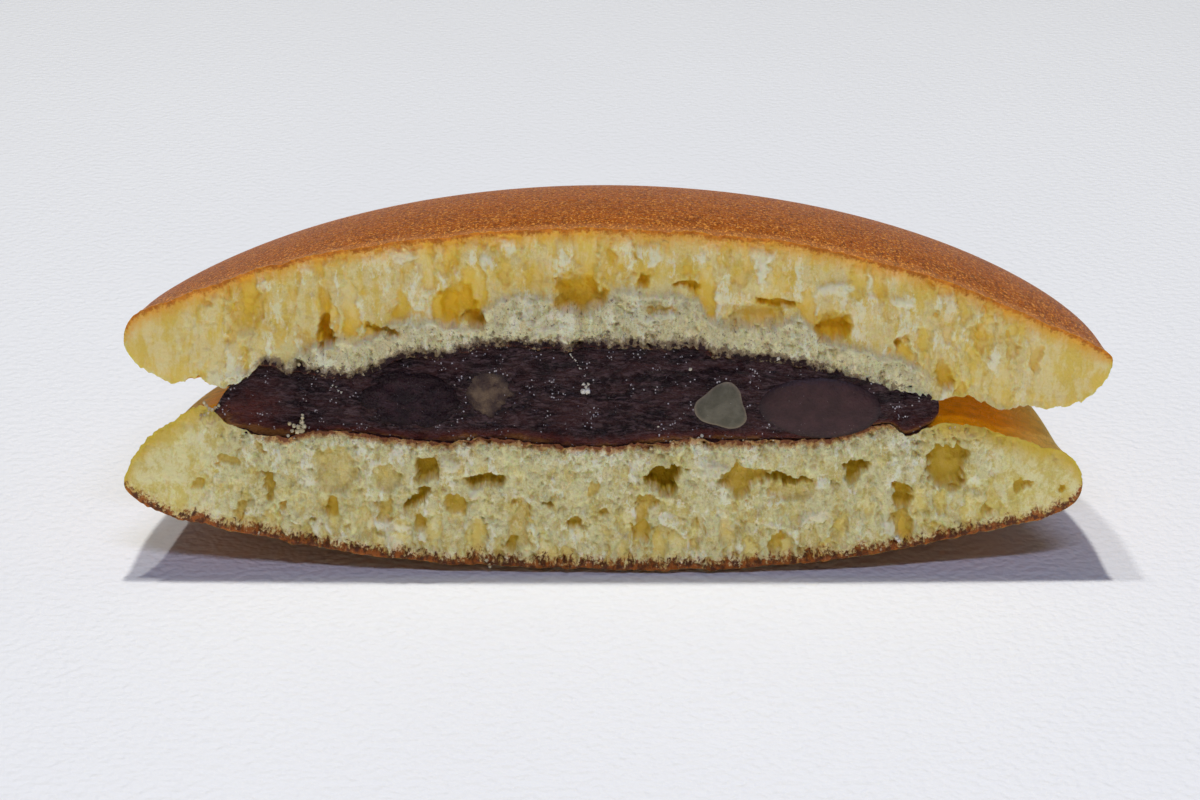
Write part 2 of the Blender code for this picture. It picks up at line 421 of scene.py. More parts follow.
LOWER_PORES = PoreField(
    pores=each(
        Pore,
        (-15.9, -7.0, 2.9, 2.3, 2.6, 0.9), (-16.8, -9.5, 1.2, 3.2, 2.8, 1.0, 38.0),
        (-10.6, -7.7, 3.5, 1.3, 2.8, 1.0, 8.0), (-13.5, -10.1, 1.9, 2.1, 1.4, 0.9),
        (-16.5, -12.2, 1.5, 1.8, 1.8, 0.9), (-7.3, -12.2, 2.1, 4.8, 1.5, 0.4),
        (-7.9, -14.2, 1.0, 1.6, 2.2, 0.9), (-4.6, -10.3, 1.2, 0.5, 1.6, 1.0),
        (-2.2, -12.1, 1.3, 1.2, 1.8, 0.9), (0.2, -10.9, 1.1, 1.0, 1.0, 0.8),
        (3.7, -9.9, 2.7, 1.1, 1.2, 0.8), (3.5, -11.3, 1.1, 2.2, 1.2, 0.8),
        (3.9, -12.9, 1.7, 2.0, 1.8, 0.8), (5.9, -7.4, 3.8, 1.8, 3.8, 1.0, -8.0),
        (6.2, -8.7, 1.7, 1.8, 3.6, 1.0), (13.1, -7.5, 4.4, 1.5, 1.9, 0.9, -6.0),
        (12.8, -7.8, 1.7, 4.0, 2.0, 0.9, 0.0, -0.3), (17.1, -7.7, 4.1, 0.9, 3.0, 1.0, 3.0),
        (17.6, -8.6, 4.4, 2.0, 0.8, 0.5), (23.5, -6.4, 2.5, 1.6, 2.8, 1.0, 0.0, -0.2),
        (23.4, -7.7, 1.2, 1.6, 2.4, 1.0, -10.0, -0.3), (27.6, -9.3, 1.9, 2.0, 2.4, 1.0),
        (27.9, -12.0, 1.7, 3.2, 1.4, 0.8), (31.8, -6.2, 3.4, 4.6, 2.4, 0.9, 0.0, -0.1),
        (38.8, -8.2, 1.1, 1.4, 1.0, 0.8), (35.6, -10.8, 1.1, 1.1, 1.0, 0.7),
        (42.2, -8.7, 0.8, 1.1, 0.8, 1.0), (-30.6, -8.4, 0.9, 2.6, 1.5, 0.9),
        (-24.1, -6.6, 3.2, 5.0, 1.0, 0.35), (-24.9, -10.4, 0.9, 2.5, 1.8, 0.8),
        (-19.5, -7.5, 2.2, 2.4, 0.8, 0.4), (-19.8, -10.7, 1.2, 2.0, 1.0, 0.6),
        (-33.9, -5.9, 1.8, 1.1, 0.5, 0.8), (-31.1, -4.9, 0.9, 0.8, 0.7, 0.6),
        (-33.0, -10.7, 1.2, 1.4, 1.1, 0.7), (-29.2, -10.2, 1.0, 1.0, 1.0, 0.7),
        (-37.0, -8.3, 1.0, 1.2, 0.8, 0.7), (-0.2, -8.7, 1.3, 1.0, 0.5, 0.7),
        (16.4, -14.3, 1.4, 1.6, 1.4, 0.8), (19.3, -14.0, 2.1, 2.4, 1.1, 0.3),
        (-11.3, -13.1, 1.3, 3.0, 1.2, 0.25), (9.0, -12.6, 0.8, 3.0, 1.1, 0.25),
        (5.7, -13.8, 1.2, 3.2, 1.1, 0.3), (11.8, -13.6, 1.3, 3.8, 1.1, 0.25),
        (-21.7, -11.6, 1.7, 3.4, 1.1, 0.25), (22.3, -12.4, 1.1, 4.4, 1.1, 0.25),
    ),
    clumps=each(
        Clump,
        (-13.7, -6.3, 1.3, 1.2), (-11.4, -9.0, 1.8, 1.0), (26.8, -12.3, 1.2, 2.2),
        (27.4, -13.8, 1.0, 0.9), (10.2, -6.7, 2.6, 1.4), (19.6, -11.6, 2.8, 1.2),
        (33.5, -2.9, 2.6, 1.4), (-35.4, -2.3, 2.0, 1.0), (-19.0, -13.2, 2.4, 2.4),
    ),
    seed=23,
)


# ---- Half-disc bodies ----


@dataclass
class MeshData:
    """Vertices in the cut frame with their faces and attributes."""

    places: list[Grid]
    faces: list[tuple[int, ...]]
    cut_faces: int = 0
    count: int = 0

    @classmethod
    def empty(cls) -> MeshData:
        """A mesh with nothing in it yet."""
        return cls(places=[], faces=[])

    def add(self, places: Grid) -> Grid:
        """Adds vertices.

        Args:
            places: An (n, 3) array in the cut frame.

        Returns:
            The new vertices' indices.
        """
        start = self.count
        self.places.append(places)
        self.count += len(places)
        return np.arange(start, self.count)

    def strip(self, first: Grid, second: Grid) -> None:
        """Joins two rows of vertices with faces.

        Args:
            first: One row.
            second: The other row, with as many columns, or half as many.
        """
        if len(first) == len(second):
            corners = zip(first[:-1], first[1:], second[1:], second[:-1])
            self.faces.extend(tuple(dict.fromkeys(corner)) for corner in corners)
            return
        for k in range(len(second) - 1):
            a, b, c = first[2 * k], first[2 * k + 1], first[2 * k + 2]
            near, far = second[k], second[k + 1]
            for corner in ((a, b, near), (b, far, near), (b, c, far)):
                if len(set(corner)) == 3:
                    self.faces.append(corner)


@dataclass(frozen=True)
class HalfDisc:
    """A round pastry layer with its front cut away, as a closed body of fine rows.

    Heights at a radius are given by top and under; the outlines say where the cut runs, and
    what they add fades out over shape_fade behind the cut. The tilt goes from roll to
    roll_behind over roll_fade. The edges tear by ragged_top and ragged_under. Behind the cut
    the sides draw in by pinch and the middle moves by drift, and nothing of the underside
    goes below the level rest.
    """

    radius: float
    centre: float
    roll: float
    roll_behind: float
    top_outline: Outline
    under_outline: Outline
    columns: int = 760
    rows: int = 84
    stations: int = 56
    ragged_top: float = 0.0
    ragged_under: float = 0.0
    set_back: float = 0.0
    pinch: float = 1.1
    pinch_over: float = 1.3
    pinch_room: float = 12.0
    drift: float = 0.0
    rest: float = NOWHERE
    tip: float = 0.0
    tear_seed: int = 53
    tear_fade: float = 1.5
    drift_fade: float = 2.5
    shape_fade: float = 11.0
    roll_fade: float = 12.0

    def top(self, radius: Grid) -> Grid:
        """Height of the top at a radius; each layer has its own."""
        raise NotImplementedError

    def under(self, radius: Grid) -> Grid:
        """Height of the underside at a radius; each layer has its own."""
        raise NotImplementedError

    def inside(self, radius: Grid) -> Grid:
        """How far inside the rim a radius is: 1 in the middle, 0 on the rim."""
        return np.sqrt(np.maximum(1.0 - (radius / self.radius) ** 2, 0.0))

    def curled(self, radius: Grid, surface: Grid | float, over: float) -> Grid:
        """Rounds a surface off to the tip's height, over so much of the way in."""
        share = 1.0 - np.minimum(self.inside(radius) / over, 1.0)
        return self.tip + (surface - self.tip) * np.sqrt(np.maximum(1.0 - share**2, 0.0))

    def round_half(self, behind: Grid | float) -> Grid:
        """Half the round outline's width at a distance behind the cut."""
        return np.sqrt(np.maximum(self.radius**2 - (behind - AXIS_BEHIND_CUT) ** 2, 0.0))

    def half_width(self, behind: Grid) -> Grid:
        """Half the layer's own width, drawn in a little behind the cut."""
        drawn_in = self.pinch * (1.0 - np.exp(-behind / self.pinch_over))
        drawn_in = drawn_in * smooth(self.round_half(behind), 0.0, self.pinch_room)
        return np.maximum(self.round_half(behind) - drawn_in, 0.0)

    def torn(self, reach: Grid, across: Grid, behind: float) -> Grid:
        """Works out how far the torn edge strays up or down, close to the cut only.

        Args:
            reach: Column positions from -1 to 1.
            across: Their places across the cut in millimetres.
            behind: Distance behind the cut in millimetres.

        Returns:
            The stray for each column, as a share of the layer's raggedness.
        """
        noise = ValueNoise(self.tear_seed)
        fade = smooth(1.0 - np.abs(reach), 0.0, 0.06) * math.exp(-behind / self.tear_fade)
        lumps = noise.at(across, 0.6 * behind, 1.5, 3) - 0.5
        return fade * (lumps + 0.45 * (noise.at(across + 70.0, behind, 0.35, 2) - 0.5))

    def column_reach(self, columns: int) -> Grid:
        """Column positions from -1 to 1, closer together towards both tips."""
        even = np.linspace(-1.0, 1.0, columns + 1)
        return 0.5 * even + 0.5 * np.sin(0.5 * np.pi * even)

    def section(self, reach: Grid, behind: float, top: bool) -> Grid:
        """One edge line of the section at a distance behind the cut.

        Args:
            reach: Column positions from -1 to 1.
            behind: Distance behind the cut in millimetres.
            top: True for the top edge, False for the underside.

        Returns:
            An (n, 3) array of places in the cut frame.
        """
        shape, outline, ragged = (
            (self.top, self.top_outline, self.ragged_top)
            if top
            else (self.under, self.under_outline, self.ragged_under)
        )
        offset = reach * float(self.half_width(np.array(behind)))
        radius = np.hypot(reach * float(self.round_half(behind)), behind - AXIS_BEHIND_CUT)
        front = reach * float(self.half_width(np.array(0.0)))
        plain_front = shape(np.hypot(front, AXIS_BEHIND_CUT)) - front * math.tan(self.roll)
        own = outline.heights(reach) - plain_front
        turned = (self.roll - self.roll_behind) * math.exp(-behind / self.roll_fade)
        height = shape(radius) - offset * math.tan(self.roll_behind + turned)
        height = height + own * math.exp(-((behind / self.shape_fade) ** 1.5))
        height = height + ragged * self.torn(reach, self.centre + offset, behind)
        if not top:
            height = np.maximum(height, self.rest + behind * math.tan(FRAME.lean))
        away = 1.0 - math.exp(-behind / self.drift_fade)
        across = self.centre + self.drift * away + offset
        return np.column_stack((across, np.full(len(reach), behind), height))

    def build(self) -> tuple[MeshData, Grid]:
        """Makes the closed body.

        Returns:
            The mesh data, and the vertex indices of its cut, rows by columns.
        """
        data = MeshData.empty()
        reach = self.column_reach(self.columns)
        top_edge = self.section(reach, 0.0, True)
        under_edge = self.section(reach, 0.0, False)
        share = np.linspace(0.0, 1.0, self.rows + 1)[:, None, None]
        sheet = under_edge[None] * (1.0 - share) + top_edge[None] * share
        sheet[:, :, 1] = self.set_back
        tips = data.add(sheet[0, [0, -1]])
        inner = data.add(sheet[:, 1:-1].reshape(-1, 3)).reshape(self.rows + 1, -1)
        ends = np.ones((self.rows + 1, 1), dtype=int)
        grid = np.hstack((ends * tips[0], inner, ends * tips[1]))
        for row in range(self.rows):
            data.strip(grid[row + 1], grid[row])
        data.cut_faces = len(data.faces)
        self._shell(data, grid)
        return data, grid

    def _stations(self) -> Grid:
        """Spreads the sections, closer together at the front and round the back rim.

        Returns:
            Their distances behind the cut in millimetres.
        """
        first = -math.asin(AXIS_BEHIND_CUT / self.radius)
        angles = np.linspace(first, 0.5 * math.pi, self.stations + 1)[1:-1]
        even = AXIS_BEHIND_CUT + self.radius * np.sin(angles)
        near = self.set_back + np.array([0.10, 0.25, 0.5])
        return np.concatenate((near, even[even > 0.8]))

    def _shell(self, data: MeshData, grid: Grid) -> None:
        """Adds the top, the underside and the back rim behind the cut.

        Args:
            data: The mesh so far, with the cut in it.
            grid: Vertex indices of the cut, rows by columns.
        """
        both_tips = np.array([-1.0, 1.0])
        stations = self._stations()
        back = AXIS_BEHIND_CUT + self.radius
        tip_height = self.section(both_tips, back, True)[0, 2]
        pole = data.add(np.array([[self.centre + self.drift, back, tip_height]]))[0]
        rims = [data.add(self.section(both_tips, behind, True)) for behind in stations]
        halvings = {True: (3, 30), False: (2, 4, 20)}
        for top in (True, False):
            columns = self.columns
            row = grid[-1] if top else grid[0]
            for index, (behind, rim) in enumerate(zip(stations, rims)):
                if index in halvings[top]:
                    columns //= 2
                middle = data.add(self.section(self.column_reach(columns), behind, top)[1:-1])
                new = np.concatenate((rim[:1], middle, rim[1:]))
                if top and len(row) == len(new):
                    data.strip(new, row)
                else:
                    data.strip(row, new)
                row = new
            fan = zip(row[:-1], row[1:])
            data.faces.extend((a, b, pole) if top else (b, a, pole) for a, b in fan)


def arch(radius: Grid) -> Grid:
    """Shape of the room over the filling: 1 in the middle, 0 where the pancakes close in."""
    return (1.0 - np.minimum(radius / ARCH_RADIUS, 1.0) ** 2.2) ** 1.3


@dataclass(frozen=True)
class UpperDisc(HalfDisc):
    """Upper pancake's shape: a dome above and an arch over the filling below."""

    crown: float = 16.1
    tip: float = 4.9
    hollow: float = 4.9
    lip: float = 0.6

    def top(self, radius: Grid) -> Grid:
        """Dome height, flat in the middle and rounding over at the rim."""
        return self.tip + (self.crown - self.tip) * self.inside(radius) ** 1.5

    def under(self, radius: Grid) -> Grid:
        """Arch over the filling, then a lip that curls up to the rim."""
        return self.curled(radius, self.lip, 0.42) + (self.hollow - self.lip) * arch(radius)


@dataclass(frozen=True)
class LowerDisc(HalfDisc):
    """Lower pancake's shape: a shallow bed above and a bowl below, pressed flat underneath."""

    bed: float = -4.2
    tip: float = -7.8
    bottom: float = -16.6

    def top(self, radius: Grid) -> Grid:
        """Bed for the filling, with a shoulder that rounds down to the rim."""
        bed = self.bed + 1.6 * np.minimum(radius / BED_RADIUS, 1.0) ** 2
        return self.curled(radius, bed, 0.66)

    def under(self, radius: Grid) -> Grid:
        """Bowl that curls up to the rim."""
        bowl = self.bottom + 5.9 * (radius / 41.5) ** 2.1
        return self.curled(radius, bowl, 0.34)


@dataclass(frozen=True)
class PasteDisc(HalfDisc):
    """Filling's shape: it follows both pancakes and ends in a rounded edge."""

    tip: float = -0.9

    def top(self, radius: Grid) -> Grid:
        """Follows the upper pancake's arch, rounding off at the edge."""
        return self.curled(radius, 0.7 + 4.3 * arch(radius), 0.36)

    def under(self, radius: Grid) -> Grid:
        """Follows the lower pancake's bed, rounding off at the edge."""
        return self.curled(radius, -4.3 + 1.6 * (radius / BED_RADIUS) ** 2, 0.36)


UPPER_DISC = UpperDisc(
    radius=44.8,
    centre=1.7,
    roll=math.radians(1.6),
    roll_behind=math.radians(0.65),
    crown=15.85,
    pinch=0.6,
    ragged_top=0.45,
    ragged_under=1.1,
    top_outline=Outline((
        (-43.0, 5.6), (-42.7, 7.0), (-42.0, 8.0), (-40.5, 8.8), (-38.6, 9.5), (-35.9, 10.4),
        (-31.4, 12.0), (-26.8, 13.25), (-22.3, 14.15), (-13.4, 15.35), (-4.5, 16.0),
        (0.0, 16.05), (8.9, 15.65), (17.9, 14.65), (22.3, 13.75), (26.9, 12.6), (31.4, 11.15),
        (35.9, 9.3), (40.5, 7.25), (45.3, 5.0), (46.6, 3.8),
    )),
    under_outline=Outline((
        (-43.0, 5.6), (-42.5, 4.2), (-41.7, 3.25), (-40.3, 2.5), (-39.0, 2.0), (-36.3, 1.85),
        (-34.7, 1.3), (-33.0, 1.5), (-30.6, 2.9), (-27.4, 2.5), (-23.6, 1.9), (-21.0, 2.5),
        (-18.1, 3.7), (-14.5, 4.1), (-7.2, 5.0), (-3.0, 4.7), (3.6, 5.0), (10.9, 4.3),
        (14.5, 3.6), (20.8, 2.6), (24.5, 1.4), (29.0, 0.8), (31.0, 0.0), (33.0, 0.5), (34.5, 0.0),
        (36.4, -0.7), (39.1, -0.5), (42.8, -0.65), (44.1, -0.1), (45.3, 0.95), (46.2, 2.1),
        (46.6, 3.8),
    )),
)

LOWER_DISC = LowerDisc(
    radius=44.1,
    centre=0.3,
    roll=math.radians(0.4),
    roll_behind=math.radians(-1.3),
    rest=-17.06,
    ragged_top=0.7,
    ragged_under=0.5,
    drift=0.3,
    pinch=2.2,
    pinch_over=2.6,
    top_outline=Outline((
        (-43.7, -8.1), (-43.1, -6.3), (-42.4, -4.9), (-41.3, -3.6), (-39.5, -2.2), (-37.2, -0.9),
        (-35.5, -0.9), (-34.4, -1.9), (-32.9, -2.7), (-31.0, -3.6), (-27.4, -3.3), (-23.7, -3.1),
        (-21.0, -3.3), (-18.3, -3.8), (-9.1, -3.85), (0.0, -4.6), (3.7, -4.2), (9.1, -3.85),
        (18.3, -3.85), (21.9, -3.4), (24.6, -2.4), (26.4, -2.2), (27.8, -3.2), (30.5, -2.4),
        (34.7, -2.6), (37.3, -3.4), (40.7, -4.5), (43.2, -5.6), (44.0, -6.8), (44.3, -8.2),
    )),
    under_outline=Outline((
        (-43.7, -8.1), (-43.3, -9.0), (-42.5, -9.7), (-41.0, -10.6), (-36.9, -12.0),
        (-32.3, -13.1), (-23.1, -14.9), (-13.9, -15.95), (-4.6, -16.4), (4.6, -16.6),
        (9.3, -16.55), (18.5, -15.95), (27.8, -14.4), (36.9, -12.4), (42.4, -10.85),
        (43.7, -9.9), (44.3, -8.2),
    )),
)

PASTE_DISC = PasteDisc(
    radius=33.24,
    centre=-2.2,
    roll=math.radians(1.0),
    roll_behind=math.radians(1.0),
    columns=400,
    rows=52,
    stations=40,
    set_back=0.22,
    pinch=3.4,
    pinch_over=2.4,
    top_outline=Outline((
        (-35.3, -1.5), (-34.8, -0.5), (-34.2, 0.5), (-33.4, 1.4), (-32.4, 2.2), (-31.0, 3.1),
        (-27.4, 3.1), (-23.6, 2.4), (-18.1, 4.1), (-10.8, 5.1), (-3.6, 5.3), (3.6, 5.5),
        (10.9, 4.9), (18.1, 3.8), (23.6, 2.4), (27.2, 1.4), (29.5, 0.9), (30.6, 0.2), (30.9, -0.8),
    )),
    under_outline=Outline((
        (-35.3, -1.4), (-34.5, -2.3), (-32.8, -3.2), (-31.0, -3.9), (-27.4, -3.6), (-23.7, -3.4),
        (-18.3, -4.2), (-9.1, -4.3), (0.0, -5.1), (9.1, -4.3), (18.3, -4.2), (21.9, -3.8),
        (24.6, -2.8), (26.4, -2.6), (27.8, -3.5), (29.5, -2.9), (30.6, -1.9), (30.9, -0.8),
    )),
)


# Where the upper crumb turns from open to crumbly: (across, up) from left to right.
LEDGE = (
    (-36.0, 1.5), (-31.7, 2.7), (-28.5, 3.3), (-27.1, 4.6), (-24.4, 5.2), (-20.8, 6.1), (-18.6, 7.2),
    (-14.4, 7.5), (-12.4, 6.4), (-11.2, 6.6), (-10.6, 8.4), (-8.1, 9.4), (-3.6, 9.8), (1.8, 10.1),
    (8.1, 9.5), (10.4, 7.6), (16.2, 6.8), (18.0, 7.8), (20.8, 5.7), (23.5, 4.8), (27.2, 3.8),
    (30.4, 2.4), (34.0, 0.5),
)


def outward(mesh: bpy.types.Mesh) -> None:
    """Turns every face of a closed mesh outwards.

    Args:
        mesh: The mesh, which this changes.
    """
    shape = bmesh.new()
    shape.from_mesh(mesh)
    bmesh.ops.recalc_face_normals(shape, faces=shape.faces)
    shape.to_mesh(mesh)
    shape.free()


def make_object(name: str, data: MeshData) -> bpy.types.Object:
    """Makes a Blender object from mesh data in the cut frame.

    Args:
        name: The object's name.
        data: Its vertices and faces.

    Returns:
        The new object in table coordinates, faces outwards, its places kept as an attribute.
    """
    places = np.vstack(data.places)
    mesh = bpy.data.meshes.new(name)
    mesh.from_pydata(FRAME.world(places).tolist(), [], data.faces)
    mesh.update()
    mesh.shade_smooth()
    layer = mesh.attributes.new(Attr.PLACE.value, "FLOAT_VECTOR", "POINT")
    layer.data.foreach_set("vector", places.astype(np.float32).ravel())
    outward(mesh)
    piece = bpy.data.objects.new(name, mesh)
    bpy.context.scene.collection.objects.link(piece)
    return piece


def crease(mesh: bpy.types.Mesh, loops: list[Grid]) -> None:
    """Marks the edges along loops of vertices sharp, so that cut and skin shade apart.

    Args:
        mesh: The mesh to mark.
        loops: Rows of vertex indices, each joined in order.
    """
    pairs = {tuple(sorted(map(int, pair))) for loop in loops for pair in zip(loop[:-1], loop[1:])}
    for edge in mesh.edges:
        if tuple(sorted(edge.vertices)) in pairs:
            edge.use_edge_sharp = True


def put_float(mesh: bpy.types.Mesh, attr: Attr, values: Grid) -> None:
    """Stores one number for each vertex."""
    layer = mesh.attributes.new(attr.value, "FLOAT", "POINT")
    layer.data.foreach_set("value", values.astype(np.float32))


# ---- Node building ----

Socket = bpy.types.NodeSocket
Value = object

FLOAT = "NodeSocketFloat"
VECTOR = "NodeSocketVector"
COLOUR = "NodeSocketColor"
GEOMETRY = "NodeSocketGeometry"
MATERIAL = "NodeSocketMaterial"
HALF = (0.5, 0.5, 0.5)


@dataclass(frozen=True)
class Signal:
    """A value that flows through a tree; numbers among them take plain arithmetic."""

    wire: Wiring
    socket: Socket

    def __add__(self, other: Value) -> Signal:
        """This number and another together."""
        return self.wire.math("ADD", self, other)

    def __sub__(self, other: Value) -> Signal:
        """This number less another."""
        return self.wire.math("SUBTRACT", self, other)

    def __rsub__(self, other: Value) -> Signal:
        """Another number less this one."""
        return self.wire.math("SUBTRACT", other, self)

    def __mul__(self, other: Value) -> Signal:
        """This number times another."""
        return self.wire.math("MULTIPLY", self, other)

    def __truediv__(self, other: Value) -> Signal:
        """This number divided by another."""
        return self.wire.math("DIVIDE", self, other)

    def __rtruediv__(self, other: Value) -> Signal:
        """Another number divided by this one."""
        return self.wire.math("DIVIDE", other, self)


class Wiring:
    """Adds and joins nodes in a tree; values may be signals, sockets or plain numbers."""

    def __init__(self, tree: Tree) -> None:
        """Takes the tree to build in."""
        self.tree = tree

    def node(self, kind: str, settings: dict | None = None, **inputs: Value) -> bpy.types.Node:
        """Adds a node.

        Args:
            kind: The node's type name.
            settings: Properties to set on it.
            **inputs: Socket values by socket name, with spaces as underscores.

        Returns:
            The new node.
        """
        node = self.tree.nodes.new(kind)
        for key, value in (settings or {}).items():
            setattr(node, key, value)
        for key, value in inputs.items():
            self.feed(self._socket(node, key), value)
        return node

    @staticmethod
    def _socket(node: bpy.types.Node, key: str) -> Socket:
        """The enabled input with a name, ignoring case and with spaces as underscores."""
        wanted = key.replace("_", " ").lower()
        return next(item for item in node.inputs if item.enabled and item.name.lower() == wanted)

    def fed(self, kind: str, settings: dict, values: dict[int, Value]) -> bpy.types.Node:
        """Adds a node whose inputs go by number.

        Args:
            kind: The node's type name.
            settings: Properties to set on it.
            values: Socket values by socket number.

        Returns:
            The new node.
        """
        node = self.node(kind, settings)
        for index, value in values.items():
            self.feed(node.inputs[index], value)
        return node

    def feed(self, socket: Socket, value: Value) -> None:
        """Links a value to an input, or sets the input's own value.

        Args:
            socket: The input.
            value: A signal or socket to link, or a plain value to set.
        """
        if isinstance(value, Signal):
            value = value.socket
        if isinstance(value, Socket):
            self.tree.links.new(value, socket)
        elif isinstance(value, tuple) and len(value) == 3 and socket.type == "RGBA":
            socket.default_value = (*value, 1.0)
        else:
            socket.default_value = value

    def math(self, operation: str, a: Value, b: Value) -> Signal:
        """The result of one arithmetic step on two numbers."""
        return Signal(self, self.fed("ShaderNodeMath", {"operation": operation}, {0: a, 1: b}).outputs[0])

    def vector(self, operation: str, a: Value, b: Value) -> Socket:
        """The result of one arithmetic step on two vectors, or on a vector and its scale."""
        second = 3 if operation == "SCALE" else 1
        return self.fed("ShaderNodeVectorMath", {"operation": operation}, {0: a, second: b}).outputs[0]

    def parts(self, vector: Value) -> tuple[Signal, ...]:
        """A vector's three numbers."""
        node = self.node("ShaderNodeSeparateXYZ", None, Vector=vector)
        return tuple(Signal(self, socket) for socket in node.outputs)

    def joined(self, x: Value, y: Value, z: Value) -> Socket:
        """A vector made of three numbers."""
        return self.node("ShaderNodeCombineXYZ", None, X=x, Y=y, Z=z).outputs[0]

    def ramp(
        self, value: Value, low: Value, high: Value, start: Value = 0.0, end: Value = 1.0
    ) -> Signal:
        """Smoothly maps a value from a range onto another.

        Args:
            value: The value to map.
            low: Where the result is start.
            high: Where the result is end.
            start: Result at low.
            end: Result at high.

        Returns:
            The mapped value.
        """
        values = dict(enumerate((value, low, high, start, end)))
        node = self.fed("ShaderNodeMapRange", {"interpolation_type": "SMOOTHSTEP"}, values)
        return Signal(self, node.outputs[0])

    def _noise(self, vector: Value, scale: Value, detail: float, rough: float) -> bpy.types.Node:
        """A noise texture node."""
        inputs = {"Vector": vector, "Scale": scale, "Detail": detail, "Roughness": rough}
        return self.node("ShaderNodeTexNoise", None, **inputs)

    def noise(self, vector: Value, scale: Value, detail: float, rough: float) -> Signal:
        """Cloudy noise around one half, with so many features per unit of the vector."""
        return Signal(self, self._noise(vector, scale, detail, rough).outputs["Fac"])

    def stray(self, vector: Value, scale: float, detail: float, rough: float, swing: Value) -> Socket:
        """A wandering offset with a full swing in every direction."""
        cloud = self._noise(vector, scale, detail, rough).outputs["Color"]
        return self.vector("SCALE", self.vector("SUBTRACT", cloud, HALF), swing)

    def mix(self, factor: Value, a: Value, b: Value) -> Socket:
        """Two colours mixed, by the share of the second."""
        settings = {"data_type": "RGBA", "clamp_factor": True}
        return self.fed("ShaderNodeMix", settings, {0: factor, 6: a, 7: b}).outputs[2]


class Group:
    """A node group in the making, with named inputs and outputs."""

    def __init__(
        self, name: str, kind: str, inputs: dict[str, tuple[str, Value]], outputs: dict[str, str]
    ) -> None:
        """Starts the group.

        Args:
            name: The group's name.
            kind: "ShaderNodeTree" or "GeometryNodeTree".
            inputs: Socket type and default by input name.
            outputs: Socket type by output name.
        """
        self.tree = bpy.data.node_groups.new(name, kind)
        for label, (socket_type, default) in inputs.items():
            socket = self.tree.interface.new_socket(label, in_out="INPUT", socket_type=socket_type)
            if default is not None:
                socket.default_value = default
        for label, socket_type in outputs.items():
            self.tree.interface.new_socket(label, in_out="OUTPUT", socket_type=socket_type)
        self.wire = Wiring(self.tree)
        source = self.wire.node("NodeGroupInput")
        sink = self.wire.node("NodeGroupOutput")
        self.taken = {item.name: Signal(self.wire, item) for item in source.outputs if item.name}
        self.given = {item.name: item for item in sink.inputs if item.name}

    def give(self, label: str, value: Value) -> Tree:
        """Feeds an output and hands over the finished tree."""
        self.wire.feed(self.given[label], value)
        return self.tree


class Effect(Enum):
    """Shader groups that several finishes use, by group name."""

    GRAIN = "fine_grain"
    SPECKLE = "speckle"
    DRIFT = "tone_drift"


SharedEffects = dict[Effect, Tree]


def grain_group() -> Tree:
    """Makes fine grain: a height built of two noises, for bump.

    Returns:
        The group.
    """
    inputs = {"Place": (VECTOR, None), "Grain Size": (FLOAT, 0.2), "Coarse Share": (FLOAT, 0.5)}
    group = Group(Effect.GRAIN.value, "ShaderNodeTree", inputs, {"Height": FLOAT})
    place = group.taken["Place"]
    scale = 1.0 / group.taken["Grain Size"]
    fine = group.wire.noise(place, scale, 2.0, 0.6)
    coarse = group.wire.noise(place, scale * 0.28, 2.0, 0.5)
    return group.give("Height", fine + coarse * group.taken["Coarse Share"])


def speckle_group() -> Tree:
    """Makes small separate dots, as a mask.

    Returns:
        The group.
    """
    inputs = {"Place": (VECTOR, None), "Dot Size": (FLOAT, 0.3), "Cover": (FLOAT, 0.3)}
    group = Group(Effect.SPECKLE.value, "ShaderNodeTree", inputs, {"Mask": FLOAT})
    wire = group.wire
    scale = 1.0 / group.taken["Dot Size"]
    cells = wire.node("ShaderNodeTexVoronoi", None, Vector=group.taken["Place"], Scale=scale)
    chance = wire.parts(cells.outputs["Color"])[0]
    chosen = wire.math("LESS_THAN", chance, group.taken["Cover"])
    return group.give("Mask", chosen * wire.ramp(cells.outputs["Distance"], 0.50, 0.22))


def drift_group() -> Tree:
    """Makes a slow change of a colour's brightness over the surface.

    Returns:
        The group.
    """
    inputs = {
        "Color": (COLOUR, (0.5, 0.5, 0.5, 1.0)),
        "Place": (VECTOR, None),
        "Patch Size": (FLOAT, 4.0),
        "Amount": (FLOAT, 0.2),
    }
    group = Group(Effect.DRIFT.value, "ShaderNodeTree", inputs, {"Color": COLOUR})
    taken = group.taken
    cloud = group.wire.noise(taken["Place"], 1.0 / taken["Patch Size"], 3.0, 0.55)
    gain = (cloud - 0.5) * (taken["Amount"] * 2.0) + 1.0
    shaded = group.wire.node("ShaderNodeHueSaturation", None, Color=taken["Color"], Value=gain)
    return group.give("Color", shaded.outputs[0])


# ---- Finishes ----


